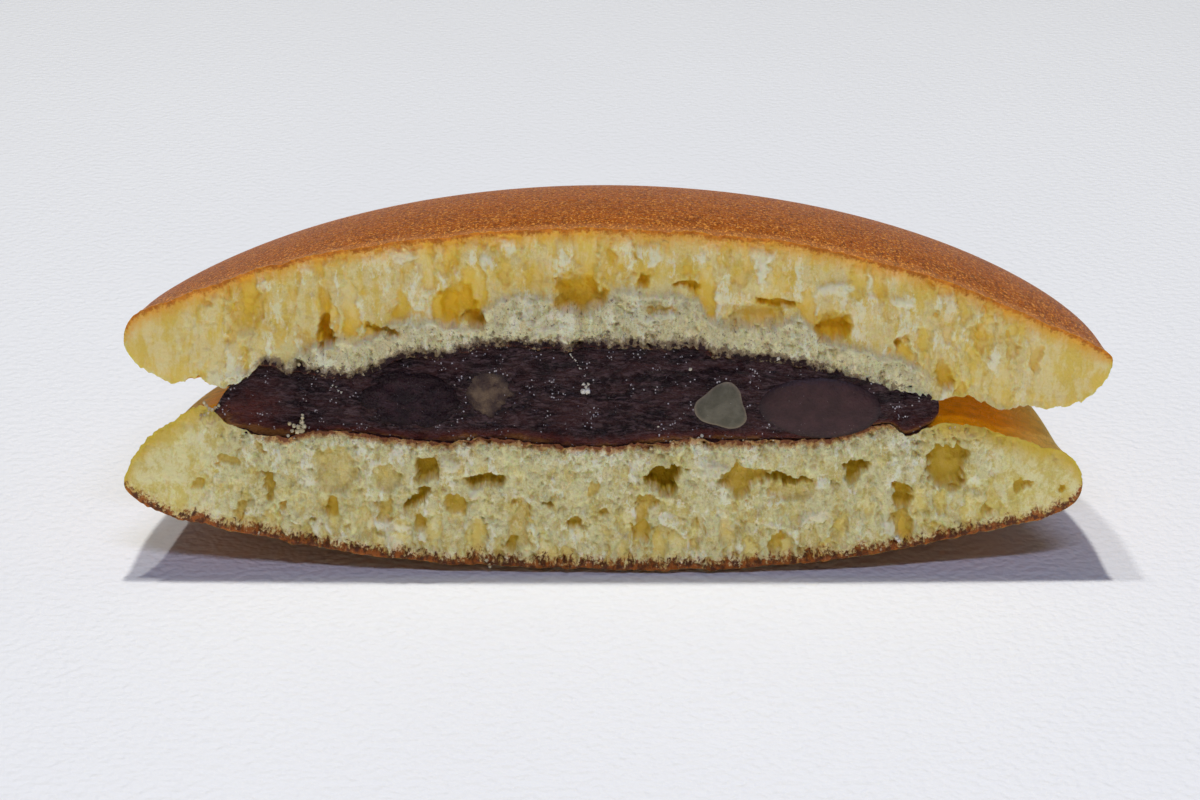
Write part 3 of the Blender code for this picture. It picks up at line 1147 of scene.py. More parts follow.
class Brush:
    """A material in the making: its wiring, its main shader and the shared groups."""

    def __init__(self, name: str, effects: SharedEffects) -> None:
        """Starts a plain material.

        Args:
            name: The material's name.
            effects: The shared shader groups.
        """
        self.effects = effects
        self.material = bpy.data.materials.new(name)
        self.material.use_nodes = True
        self.wire = Wiring(self.material.node_tree)
        self.shader = self.material.node_tree.nodes["Principled BSDF"]

    def read(self, attr: Attr, output: str = "Fac") -> Signal:
        """Reads one of the mesh's named attributes."""
        node = self.wire.node("ShaderNodeAttribute", {"attribute_name": attr.value})
        return Signal(self.wire, node.outputs[output])

    @cached_property
    def place(self) -> Signal:
        """Place in the cut frame, in millimetres."""
        return self.read(Attr.PLACE, "Vector")

    @cached_property
    def object_place(self) -> Socket:
        """Place in the table's frame, in metres, for pieces without a place in the cut."""
        return self.wire.node("ShaderNodeTexCoord").outputs["Object"]

    def group(self, effect: Effect, **inputs: Value) -> Signal:
        """The output of a shared group."""
        node = self.wire.node("ShaderNodeGroup", {"node_tree": self.effects[effect]}, **inputs)
        return Signal(self.wire, node.outputs[0])

    def dial(self, **values: Value) -> None:
        """Feeds the shader's inputs, named with underscores for spaces."""
        for key, value in values.items():
            self.wire.feed(self.shader.inputs[key.replace("_", " ")], value)

    def surface(self, colour: Value, roughness: Value, height: Value, bump_mm: float) -> None:
        """Feeds the shader's colour, roughness and bump.

        Args:
            colour: The surface's colour.
            roughness: Its roughness.
            height: Bump height, from about 0 to 1.
            bump_mm: How much that height stands for, in millimetres.
        """
        distance = bump_mm * MM
        bump = self.wire.node("ShaderNodeBump", None, Strength=1.0, Distance=distance, Height=height)
        self.dial(Base_Color=colour, Roughness=roughness, Normal=bump.outputs[0])

    def light(self, specular: float, scatter: float = 0.0, scatter_mm: float = 1.6) -> None:
        """Sets how light glances off the surface and scatters below it.

        Args:
            specular: Specular level.
            scatter: Share of light that scatters below the surface.
            scatter_mm: How far it scatters, in millimetres.
        """
        self.dial(Specular_IOR_Level=specular, Subsurface_Weight=scatter)
        self.dial(Subsurface_Radius=(1.0, 0.60, 0.20), Subsurface_Scale=scatter_mm * MM)


@dataclass(frozen=True)
class Finish:
    """A named material; each kind of finish paints its own."""

    name: str

    def make(self, effects: SharedEffects) -> bpy.types.Material:
        """Builds the material.

        Args:
            effects: The shared shader groups.

        Returns:
            The material.
        """
        brush = Brush(self.name, effects)
        self.paint(brush)
        return brush.material

    def paint(self, brush: Brush) -> None:
        """Wires the material; each kind has its own way."""
        raise NotImplementedError


@dataclass(frozen=True)
class CrumbFinish(Finish):
    """Open crumb of a cut pancake: cream walls with painted highlights, hollows in painted amber glow and
    shade, and orange under the crust, partly a painted glow.
    """

    cream: Colour
    body: Colour
    # Amber of the hollows: painted glow and shade.
    amber: Colour
    # Darker amber where the hollows are deepest: painted shade.
    deep: Colour
    stain: Colour
    chalk: Colour
    wet: Colour = (0.035, 0.012, 0.012)
    shade: Colour = (0.64, 0.50, 0.20)
    gleam: Colour = (1.0, 0.95, 0.70)
    clump: Colour = (1.0, 0.90, 0.60)
    # Painted shade in tiny pits, more of them near the filling.
    pit: Colour = (0.17, 0.095, 0.035)
    dusk: Colour = (1.0, 0.88, 0.50)
    # Orange under the crust: partly the crumb's own colour, partly a painted glow of light through the
    # crust.
    near_crust: Colour = (0.88, 0.45, 0.03)
    crust_line: Colour = (0.70, 0.26, 0.014)
    crust_dark: Colour = (0.48, 0.155, 0.006)
    glow_mm: float = 2.2
    line_mm: float = 0.40
    line_blur: float = 0.28
    teeth: float = 1.5
    bites: float = 0.9
    whiteness: float = 0.7
    upright: float = 0.4

    def paint(self, brush: Brush) -> None:
        """Lays the crumb's tones over one another, from its body to its stains.

        Args:
            brush: The material in the making.
        """
        wire = brush.wire
        place = brush.place
        depth = brush.read(Attr.PORE)
        crumbly = brush.read(Attr.CRUMBLY)
        hollow = brush.read(Attr.CELL)
        opened = brush.read(Attr.OPEN)
        tall = wire.vector("MULTIPLY", place, (1.0, 1.0, self.upright))
        fine = wire.noise(place, 3.2, 4.0, 0.65)
        grit = wire.noise(place, 4.6, 3.0, 0.75)
        lumps = wire.noise(tall, 0.9, 6.0, 0.72)
        clots = wire.noise(wire.vector("ADD", tall, (31.0, 5.0, 11.0)), 0.7, 7.0, 0.74)
        patches = wire.noise(tall, 0.33, 3.0, 0.6)

        # Body, with the hollows leaning to the darker body tone and to amber as painted shade, most of it
        # above the ledge, and the dry crumbly part over the filling.
        blend = lumps * 0.7 + patches * 0.3 - hollow * 0.06 - (1.0 - opened) * 0.035
        tone = wire.mix(wire.ramp(blend, 0.40, 0.53), self.body, self.cream)
        hollow_shade = brush.read(Attr.SOAK) * 0.55 + 0.02
        tone = wire.mix(wire.ramp(hollow, 0.3, 0.9) * hollow_shade, tone, self.amber)
        dry = wire.mix(wire.ramp(lumps, 0.54, 0.42), self.chalk, self.dusk)
        tone = wire.mix(crumbly * 0.85, tone, dry)

        # Fine shade and gleam on the torn grain.
        spongy = brush.read(Attr.SPONGE) * wire.ramp(clots, 0.40, 0.56, 0.45, 1.0)
        grainy = (1.0 - hollow * 0.8) * (spongy * 0.65 + 0.10)
        tone = wire.mix(wire.ramp(grit, 0.50, 0.36) * grainy, tone, self.shade)
        # Whiter patches on the ridges are painted highlights where thin walls catch the light.
        white = wire.ramp(clots, 0.53, 0.59) * (1.0 - hollow) * opened
        tone = wire.mix(white * self.whiteness, tone, self.gleam)
        tone = wire.mix(wire.ramp(grit, 0.55, 0.64) * grainy, tone, self.gleam)

        # Tiny pits in painted shade, pale clumps with a painted highlight along the ledge's top, and the
        # large hollows in painted amber glow, darker as painted shade where they are deepest.
        stained = wire.ramp(brush.read(Attr.STAIN), 0.0, 0.7, 0.0, 0.09)
        pitted = wire.ramp(wire.noise(place, 2.0, 5.0, 0.72) + stained, 0.585, 0.625)
        tone = wire.mix(pitted * (crumbly * 0.7), tone, self.pit)
        clump_and_ledge_highlight = brush.read(Attr.PALE) * wire.ramp(clots, 0.40, 0.49)
        tone = wire.mix(clump_and_ledge_highlight, tone, self.clump)
        tone = wire.mix(wire.ramp(depth, 1.1, 2.4, 0.0, 0.60), tone, self.amber)
        tone = wire.mix(brush.read(Attr.AMBER) * 0.88, tone, self.amber)
        tone = wire.mix(wire.ramp(depth, 1.6, 3.0), tone, self.deep)

        tone = self._soaked(brush, self._crusted(brush, tone, fine))
        tone = brush.group(Effect.DRIFT, Color=tone, Place=place, Patch_Size=4.0, Amount=0.10)
        grain = brush.group(Effect.GRAIN, Place=place, Grain_Size=0.20, Coarse_Share=0.6)
        brush.surface(tone, 0.5, (grain + clots) * (grainy + 0.25), 0.24)
        brush.light(specular=0.3, scatter=0.5, scatter_mm=0.9)

    def _crusted(self, brush: Brush, tone: Value, fine: Signal) -> Value:
        """Warms the crumb towards the crust, partly its own colour and partly a painted glow of light
        through the crust, and draws the crust's own cut edge.

        Args:
            brush: The material in the making.
            tone: The crumb's colour so far.
            fine: Fine noise that tears the edge.

        Returns:
            The new colour.
        """
        wire = brush.wire
        toothed = wire.noise(wire.vector("MULTIPLY", brush.place, (1.0, 1.0, 0.4)), 0.8, 6.0, 0.74)
        wavy = brush.read(Attr.EDGE) + ((toothed - 0.5) + (fine - 0.5)) * self.teeth
        tone = wire.mix(wire.ramp(wavy, self.glow_mm, 0.2, 0.0, 0.85), tone, self.near_crust)
        patchy = wire.noise(brush.place, 1.3, 5.0, 0.7)
        crust = wire.mix(wire.ramp(patchy, 0.42, 0.56), self.crust_line, self.crust_dark)
        line = wire.ramp(wavy, self.line_mm + self.line_blur, self.line_mm - self.line_blur)
        return wire.mix(line, tone, crust)

    def _soaked(self, brush: Brush, tone: Value) -> Value:
        """Stains the crumb where it touches the filling, in ragged dark bites.

        Args:
            brush: The material in the making.
            tone: The crumb's colour so far.

        Returns:
            The new colour.
        """
        wire = brush.wire
        stain = brush.read(Attr.STAIN)
        bitten = (wire.noise(brush.place, 0.9, 6.0, 0.75) - 0.5) * 2.0
        wet = stain + bitten * self.bites
        touched = wire.math("GREATER_THAN", stain, 0.01)
        tone = wire.mix(wire.ramp(wet, 0.40, 0.85, 0.0, 0.85) * touched, tone, self.stain)
        return wire.mix(wire.ramp(wet, 0.84, 0.94) * touched, tone, self.wet)


@dataclass(frozen=True)
class SkinFinish(Finish):
    """A pancake's outside: fine brown crust with painted glints, pale rim and syrup-soaked inner side,
    whose amber is partly a painted glow.
    """

    crust: Colour = (0.37, 0.090, 0.003)
    light_grain: Colour = (0.85, 0.36, 0.06)
    dark_grain: Colour = (0.15, 0.030, 0.001)
    front_edge: Colour = (0.80, 0.40, 0.15)
    rim: Colour = (0.78, 0.54, 0.16)
    soaked: Colour = (0.80, 0.32, 0.003)
    wet: Colour = (0.05, 0.016, 0.014)
    lit_rim: Colour = (0.58, 0.43, 0.08)
    scatter: float = 0.1
    glow: float = 0.0

    def paint(self, brush: Brush) -> None:
        """Paints the crust over the soft inner side, and lets thin soft skin glow.

        Args:
            brush: The material in the making.
        """
        wire = brush.wire
        place = brush.place
        bake = brush.read(Attr.BAKE)
        soak = brush.read(Attr.SOAK)
        stain = brush.read(Attr.STAIN)
        flat = wire.vector("MULTIPLY", place, (1.0, 0.5, 1.0))
        # Light specks on the crust are painted glints, stronger near the cut.
        light = wire.ramp(wire.noise(flat, 4.0, 2.0, 0.8), 0.55, 0.61)
        dark = wire.noise(wire.vector("ADD", flat, (7.0, 3.0, 5.0)), 2.3, 3.0, 0.8)
        behind = wire.parts(place)[1]
        crust = brush.group(Effect.DRIFT, Color=self.crust, Place=place, Patch_Size=3.5, Amount=0.22)
        crust = wire.mix(wire.ramp(dark, 0.51, 0.58) * 0.8, crust, self.dark_grain)
        crust = wire.mix(light * wire.ramp(behind, 0.0, 8.0, 1.0, 0.7), crust, self.light_grain)
        crust = wire.mix(wire.ramp(behind, 2.6, 0.0, 0.0, 0.28), crust, self.front_edge)
        # The soaked inner side's amber is partly the skin's own syrupy tone and partly a painted glow of
        # light through the thin skin.
        inner = wire.mix(soak, self.rim, self.soaked)
        inner = brush.group(Effect.DRIFT, Color=inner, Place=place, Patch_Size=1.2, Amount=0.45)
        edge = bake + (wire.noise(place, 1.1, 4.0, 0.65) - 0.5) * 0.9
        tone = wire.mix(wire.ramp(edge, 0.30, 0.62), inner, crust)
        tone = wire.mix(stain, tone, self.wet)
        grain = brush.group(Effect.GRAIN, Place=flat, Grain_Size=0.24, Coarse_Share=0.6)
        brush.surface(tone, wire.ramp(bake, 0.0, 1.0, 0.5, 0.36), grain, 0.45)
        brush.light(specular=0.06, scatter=self.scatter, scatter_mm=1.0)
        if self.glow > 0.0:
            unbaked = wire.ramp(bake, 0.30, 0.0) - stain
            lit = wire.mix(unbaked, (0.0, 0.0, 0.0), wire.mix(soak, self.lit_rim, inner))
            brush.dial(Emission_Color=lit, Emission_Strength=self.glow)


@dataclass(frozen=True)
class PasteFinish(Finish):
    """Moist dark bean paste with reddish thin edges and small sparks of painted highlight."""

    name: str = "bean_paste"
    dark: Colour = (0.020, 0.008, 0.010)
    brown: Colour = (0.085, 0.035, 0.034)
    fibre: Colour = (0.160, 0.092, 0.095)
    red: Colour = (0.13, 0.032, 0.024)
    soaked: Colour = (0.34, 0.135, 0.035)
    spark: Colour = (0.85, 0.78, 0.80)

    def paint(self, brush: Brush) -> None:
        """Paints lying fibres, the thin edges and the sparks of painted highlight.

        Args:
            brush: The material in the making.
        """
        wire = brush.wire
        place = brush.place
        stain = brush.read(Attr.STAIN)
        lying = wire.vector("MULTIPLY", place, (0.45, 1.0, 1.5))
        cloud = wire.noise(lying, 0.55, 4.0, 0.65)
        fibres = wire.noise(lying, 2.4, 4.0, 0.7)
        tone = wire.mix(wire.ramp(cloud, 0.38, 0.66), self.dark, self.brown)
        tone = wire.mix(wire.ramp(fibres, 0.52, 0.62, 0.0, 0.7), tone, self.fibre)
        torn = (wire.noise(place, 1.1, 5.0, 0.7) - 0.5) * 0.9
        edge = stain + torn * wire.ramp(stain, 0.02, 0.3)
        tone = wire.mix(wire.ramp(edge, 0.05, 0.55), tone, self.red)
        tone = wire.mix(wire.ramp(edge, 0.50, 0.95), tone, self.soaked)
        # Sparks of painted highlight, gathered in clusters.
        gathered = wire.ramp(wire.noise(place, 0.6, 4.0, 0.7), 0.54, 0.66, 0.003, 0.45)
        sparks = brush.group(Effect.SPECKLE, Place=place, Dot_Size=0.20, Cover=gathered)
        tone = wire.mix(sparks, tone, self.spark)
        grain = brush.group(Effect.GRAIN, Place=lying, Grain_Size=0.22, Coarse_Share=0.9)
        roughness = wire.ramp(fibres, 0.40, 0.6, 0.14, 0.42)
        brush.surface(tone, roughness, grain + fibres * 1.4, 0.55)
        brush.light(specular=0.35)


@dataclass(frozen=True)
class BeanFinish(Finish):
    """A bean's skin or cut inside, moist and slightly streaked."""

    tone: Colour
    second: Colour
    roughness: float
    rim: float = 0.9
    rim_tone: Colour = (0.022, 0.009, 0.011)
    bits: Colour = (0.55, 0.48, 0.48)
    bump_mm: float = 0.10

    def paint(self, brush: Brush) -> None:
        """Paints two clouded tones, the rim and a few pale bits.

        Args:
            brush: The material in the making.
        """
        wire = brush.wire
        place = brush.place
        cloud = wire.noise(place, 0.9, 4.0, 0.6)
        tone = wire.mix(wire.ramp(cloud, 0.36, 0.68), self.tone, self.second)
        tone = wire.mix(brush.read(Attr.EDGE) * self.rim, tone, self.rim_tone)
        tone = wire.mix(wire.ramp(wire.noise(place, 5.0, 2.0, 0.8), 0.70, 0.80), tone, self.bits)
        grain = brush.group(Effect.GRAIN, Place=place, Grain_Size=0.22, Coarse_Share=0.8)
        brush.surface(tone, self.roughness, grain, self.bump_mm)
        brush.light(specular=0.3)


@dataclass(frozen=True)
class CrumbBitFinish(Finish):
    """Loose crumbs and flakes of two clouded tones."""

    tone: Colour
    second: Colour

    def paint(self, brush: Brush) -> None:
        """Paints the two tones.

        Args:
            brush: The material in the making.
        """
        cloud = brush.wire.noise(brush.object_place, 2200.0, 3.0, 0.6)
        tone = brush.wire.mix(brush.wire.ramp(cloud, 0.35, 0.65), self.tone, self.second)
        brush.surface(tone, 0.5, cloud, 0.05)
        brush.light(specular=0.4, scatter=0.2)


@dataclass(frozen=True)
class TableFinish(Finish):
    """A pale smooth table with a very fine tooth."""

    name: str = "pale_table"
    tone: Colour = (0.805, 0.815, 0.81)

    def paint(self, brush: Brush) -> None:
        """Paints the even tone and its tooth.

        Args:
            brush: The material in the making.
        """
        place = brush.object_place
        cloud = brush.wire.noise(place, 1150.0, 1.0, 0.4)
        tone = brush.group(Effect.DRIFT, Color=self.tone, Place=place, Patch_Size=0.05, Amount=0.02)
        brush.surface(tone, 0.6, cloud, 0.24)
        brush.light(specular=0.2)


# ---- Geometry Nodes ----


class GeometryTree(Group):
    """A geometry tree in the making; each step changes what flows through it."""

    def __init__(self, name: str, inputs: dict[str, tuple[str, Value]]) -> None:
        """Starts the tree, with a geometry in and out.

        Args:
            name: The tree's name.
            inputs: Socket type and default by input name; a material input is added.
        """
        sockets = {"Geometry": (GEOMETRY, None), **inputs, "Material": (MATERIAL, None)}
        super().__init__(name, "GeometryNodeTree", sockets, {"Geometry": GEOMETRY})
        self.flow: Value = self.taken["Geometry"]

    def read(self, attr: Attr, kind: str = "FLOAT") -> Signal:
        """Reads a named attribute."""
        settings = {"data_type": kind}
        node = self.wire.node("GeometryNodeInputNamedAttribute", settings, Name=attr.value)
        return Signal(self.wire, node.outputs["Attribute"])

    def step(self, kind: str, settings: dict | None = None, **inputs: Value) -> None:
        """Sends the geometry through one more node."""
        self.flow = self.wire.node(kind, settings, Geometry=self.flow, **inputs).outputs[0]

    def store(self, attr: Attr, value: Value) -> None:
        """Stores a number on every point."""
        settings = {"data_type": "FLOAT", "domain": "POINT"}
        self.step("GeometryNodeStoreNamedAttribute", settings, Name=attr.value, Value=value)

    def finish(self) -> Tree:
        """Realizes what the tree made, gives it its material, and closes the tree.

        Returns:
            The finished tree.
        """
        self.step("GeometryNodeRealizeInstances")
        self.step("GeometryNodeSetMaterial", Material=self.taken["Material"])
        return self.give("Geometry", self.flow)


def walls(
    wire: Wiring, place: Value, shift: Value, width: Signal, height: Signal
) -> tuple[Signal, Signal]:
    """Upright cells in the cut plane, parted by thin walls.

    Args:
        wire: The tree's wiring.
        place: Place in the cut frame, in millimetres.
        shift: Seed shift out of the plane.
        width: Cell width in millimetres.
        height: Cell height in millimetres.

    Returns:
        Distance from the cell's wall, and one random number for each cell.
    """
    across, _, up = wire.parts(place)
    sheet = wire.joined(across / width, up / height, shift)
    wall, body = (
        wire.node("ShaderNodeTexVoronoi", {"feature": feature}, Vector=sheet, Scale=1.0).outputs
        for feature in ("DISTANCE_TO_EDGE", "F1")
    )
    return Signal(wire, wall["Distance"]), wire.parts(body["Color"])[0]


def pits(wire: Wiring, place: Value, size: Signal, chance: float) -> Signal:
    """Round pits where bubbles were cut open.

    Args:
        wire: The tree's wiring.
        place: Place in the cut frame, in millimetres.
        size: Distance between bubbles in millimetres.
        chance: Share of bubbles that are there.

    Returns:
        Depth of the pits, from 0 to 1.
    """
    settings = {"feature": "F1"}
    bubbles = wire.node("ShaderNodeTexVoronoi", settings, Vector=place, Scale=1.0 / size).outputs
    there = wire.ramp(wire.parts(bubbles["Color"])[0], chance + 0.08, chance - 0.08)
    return wire.ramp(bubbles["Distance"], 0.55, 0.20) * there


def open_crumb_tree() -> Tree:
    """Tree that opens the crumb: tall cells, cut bubbles and torn grain, pressed inwards.

    Returns:
        The geometry node tree, with named inputs.
    """
    inputs = {
        "Column Width": (FLOAT, 2.2),
        "Column Height": (FLOAT, 6.0),
        "Column Depth": (FLOAT, 1.2),
        "Bubble Size": (FLOAT, 1.0),
        "Bubble Depth": (FLOAT, 0.8),
        "Grain Depth": (FLOAT, 0.12),
        "Tear": (FLOAT, 0.5),
        "Seed": (FLOAT, 1.0),
        "Inward": (VECTOR, (0.0, 1.0, 0.0)),
        "Upward": (VECTOR, (0.0, 0.0, 1.0)),
    }
    crumb = GeometryTree("open_crumb", inputs)
    wire = crumb.wire
    taken = crumb.taken
    shift = taken["Seed"] * 7.31
    place = wire.vector("ADD", crumb.read(Attr.PLACE, "FLOAT_VECTOR"), wire.joined(shift, shift, 0.0))
    bent = wire.vector("ADD", place, wire.stray(place, 1.0 / 1.5, 2.0, 0.6, 1.6))
    bent = wire.vector("ADD", bent, wire.stray(place, 1.0 / 0.45, 2.0, 0.6, 0.75))

    # Tall hollow cells.
    wall, tone = walls(wire, bent, shift, taken["Column Width"], taken["Column Height"])
    wobble = (wire.noise(place, 0.9, 3.0, 0.6) - 0.5) * 0.5
    hollow = wire.ramp(wall + wobble, 0.05, 0.20) * wire.ramp(tone, 0.08, 0.60, 0.25, 1.0)
    hollow = hollow * crumb.read(Attr.COLUMNS)
    tall = hollow * taken["Column Depth"]

    # Large and small bubbles, and the torn grain on the walls between them.
    large = pits(wire, bent, taken["Bubble Size"], 0.34)
    small = pits(wire, bent, taken["Bubble Size"] * 0.48, 0.50)
    sponge = (small * 0.60 + large) * taken["Bubble Depth"] * crumb.read(Attr.SPONGE)
    rough = (1.0 - hollow) * 0.45 + 0.15 + crumb.read(Attr.CRUMBLY) * 0.9
    torn = (wire.noise(place, 2.6, 4.0, 0.75) - 0.45) * taken["Grain Depth"] * (rough * 4.0)

    # The listed hollows leave less room for the random ones.
    hero = crumb.read(Attr.HERO)
    own = (tall + sponge) * wire.ramp(hero, 1.2, 0.1, 0.30, 1.0)
    proud = crumb.read(Attr.PALE) * -0.30
    total = ((hero + own) + (torn + proud)) * crumb.read(Attr.FACE)
    crumb.store(Attr.PORE, total)
    crumb.store(Attr.CELL, hollow)

    # Everything is pressed in; the face's edges stray across and up as well.
    push = wire.vector("SCALE", taken["Inward"], total * MM)
    coarse = wire.stray(place, 1.0 / 0.9, 2.0, 0.6, 1.0)
    fine = wire.stray(place, 1.0 / 0.3, 2.0, 0.6, 0.5)
    tear = taken["Tear"] * crumb.read(Attr.TORN)
    edge = wire.vector("SCALE", wire.vector("ADD", coarse, fine), tear)
    across, _, up = wire.parts(edge)
    upwards = wire.vector("SCALE", taken["Upward"], up * MM)
    frayed = wire.vector("ADD", wire.joined(across * MM, 0.0, 0.0), upwards)
    crumb.step("GeometryNodeSetPosition", Offset=wire.vector("ADD", push, frayed))
    return crumb.finish()


def crumbs_tree() -> Tree:
    """Tree that puts a lumpy crumb of the asked size on every point.

    Returns:
        The geometry node tree, with named inputs.
    """
    inputs = {"Seed": ("NodeSocketInt", 1), "Lumpiness": (FLOAT, 3.4)}
    crumbs = GeometryTree("loose_crumbs", inputs)
    wire = crumbs.wire
    taken = crumbs.taken
    ball = wire.node("GeometryNodeMeshIcoSphere", None, Radius=1.0, Subdivisions=3).outputs["Mesh"]
    where = wire.node("GeometryNodeInputPosition").outputs[0]
    lumps = wire.stray(where, 1.1, 4.0, 0.7, taken["Lumpiness"])
    lumpy = wire.node("GeometryNodeSetPosition", None, Geometry=ball, Offset=lumps).outputs[0]
    turn = wire.node("FunctionNodeRandomValue", {"data_type": "FLOAT_VECTOR"}, Seed=taken["Seed"])
    turn.inputs[1].default_value = FULL_TURNS
    spots = {"Points": crumbs.flow, "Instance": lumpy, "Rotation": turn.outputs[0]}
    copies = wire.node("GeometryNodeInstanceOnPoints", None, **spots, Scale=crumbs.read(Attr.SIZE))
    crumbs.flow = copies.outputs[0]
    return crumbs.finish()


def run_tree(
    piece: bpy.types.Object, tree: Tree, values: dict[str, Value]
) -> bpy.types.Mesh:
    """Runs a geometry tree on a piece and gives the finished mesh.

    Args:
        piece: The object whose mesh goes in.
        tree: The tree to run.
        values: Input values by socket name.

    Returns:
        A new plain mesh; the piece's modifier is gone again.
    """
    modifier = piece.modifiers.new(tree.name, "NODES")
    modifier.node_group = tree
    for item in tree.interface.items_tree:
        if item.item_type == "SOCKET" and item.in_out == "INPUT" and item.name in values:
            modifier[item.identifier] = values[item.name]
    piece.update_tag()
    graph = bpy.context.evaluated_depsgraph_get()
    ready = piece.evaluated_get(graph)
    mesh = bpy.data.meshes.new_from_object(ready, preserve_all_data_layers=True, depsgraph=graph)
    piece.modifiers.remove(modifier)
    return mesh


# ---- The pastry's layers ----


@dataclass(frozen=True)
class Dressing:
    """Everything that the layers share: shader groups and geometry trees."""

    effects: SharedEffects
    crumb_tree: Tree
    crumbs_tree: Tree

    @classmethod
    def prepare(cls) -> Dressing:
        """Makes the shared groups and trees once."""
        makers = {Effect.GRAIN: grain_group, Effect.SPECKLE: speckle_group, Effect.DRIFT: drift_group}
        effects = {effect: make() for effect, make in makers.items()}
        return cls(effects, open_crumb_tree(), crumbs_tree())


@dataclass(frozen=True)
class CrumbRule:
    """How the random part of one pancake's crumb opens, in millimetres."""

    column_width: float
    column_height: float
    column_depth: float
    bubble_size: float
    bubble_depth: float
    grain_depth: float
    tear: float
    seed: float

    def inputs(self) -> dict[str, Value]:
        """The open crumb tree's inputs, by name."""
        named = {key.replace("_", " ").title(): value for key, value in asdict(self).items()}
        return {**named, "Inward": tuple(FRAME.inward()), "Upward": tuple(FRAME.upward())}


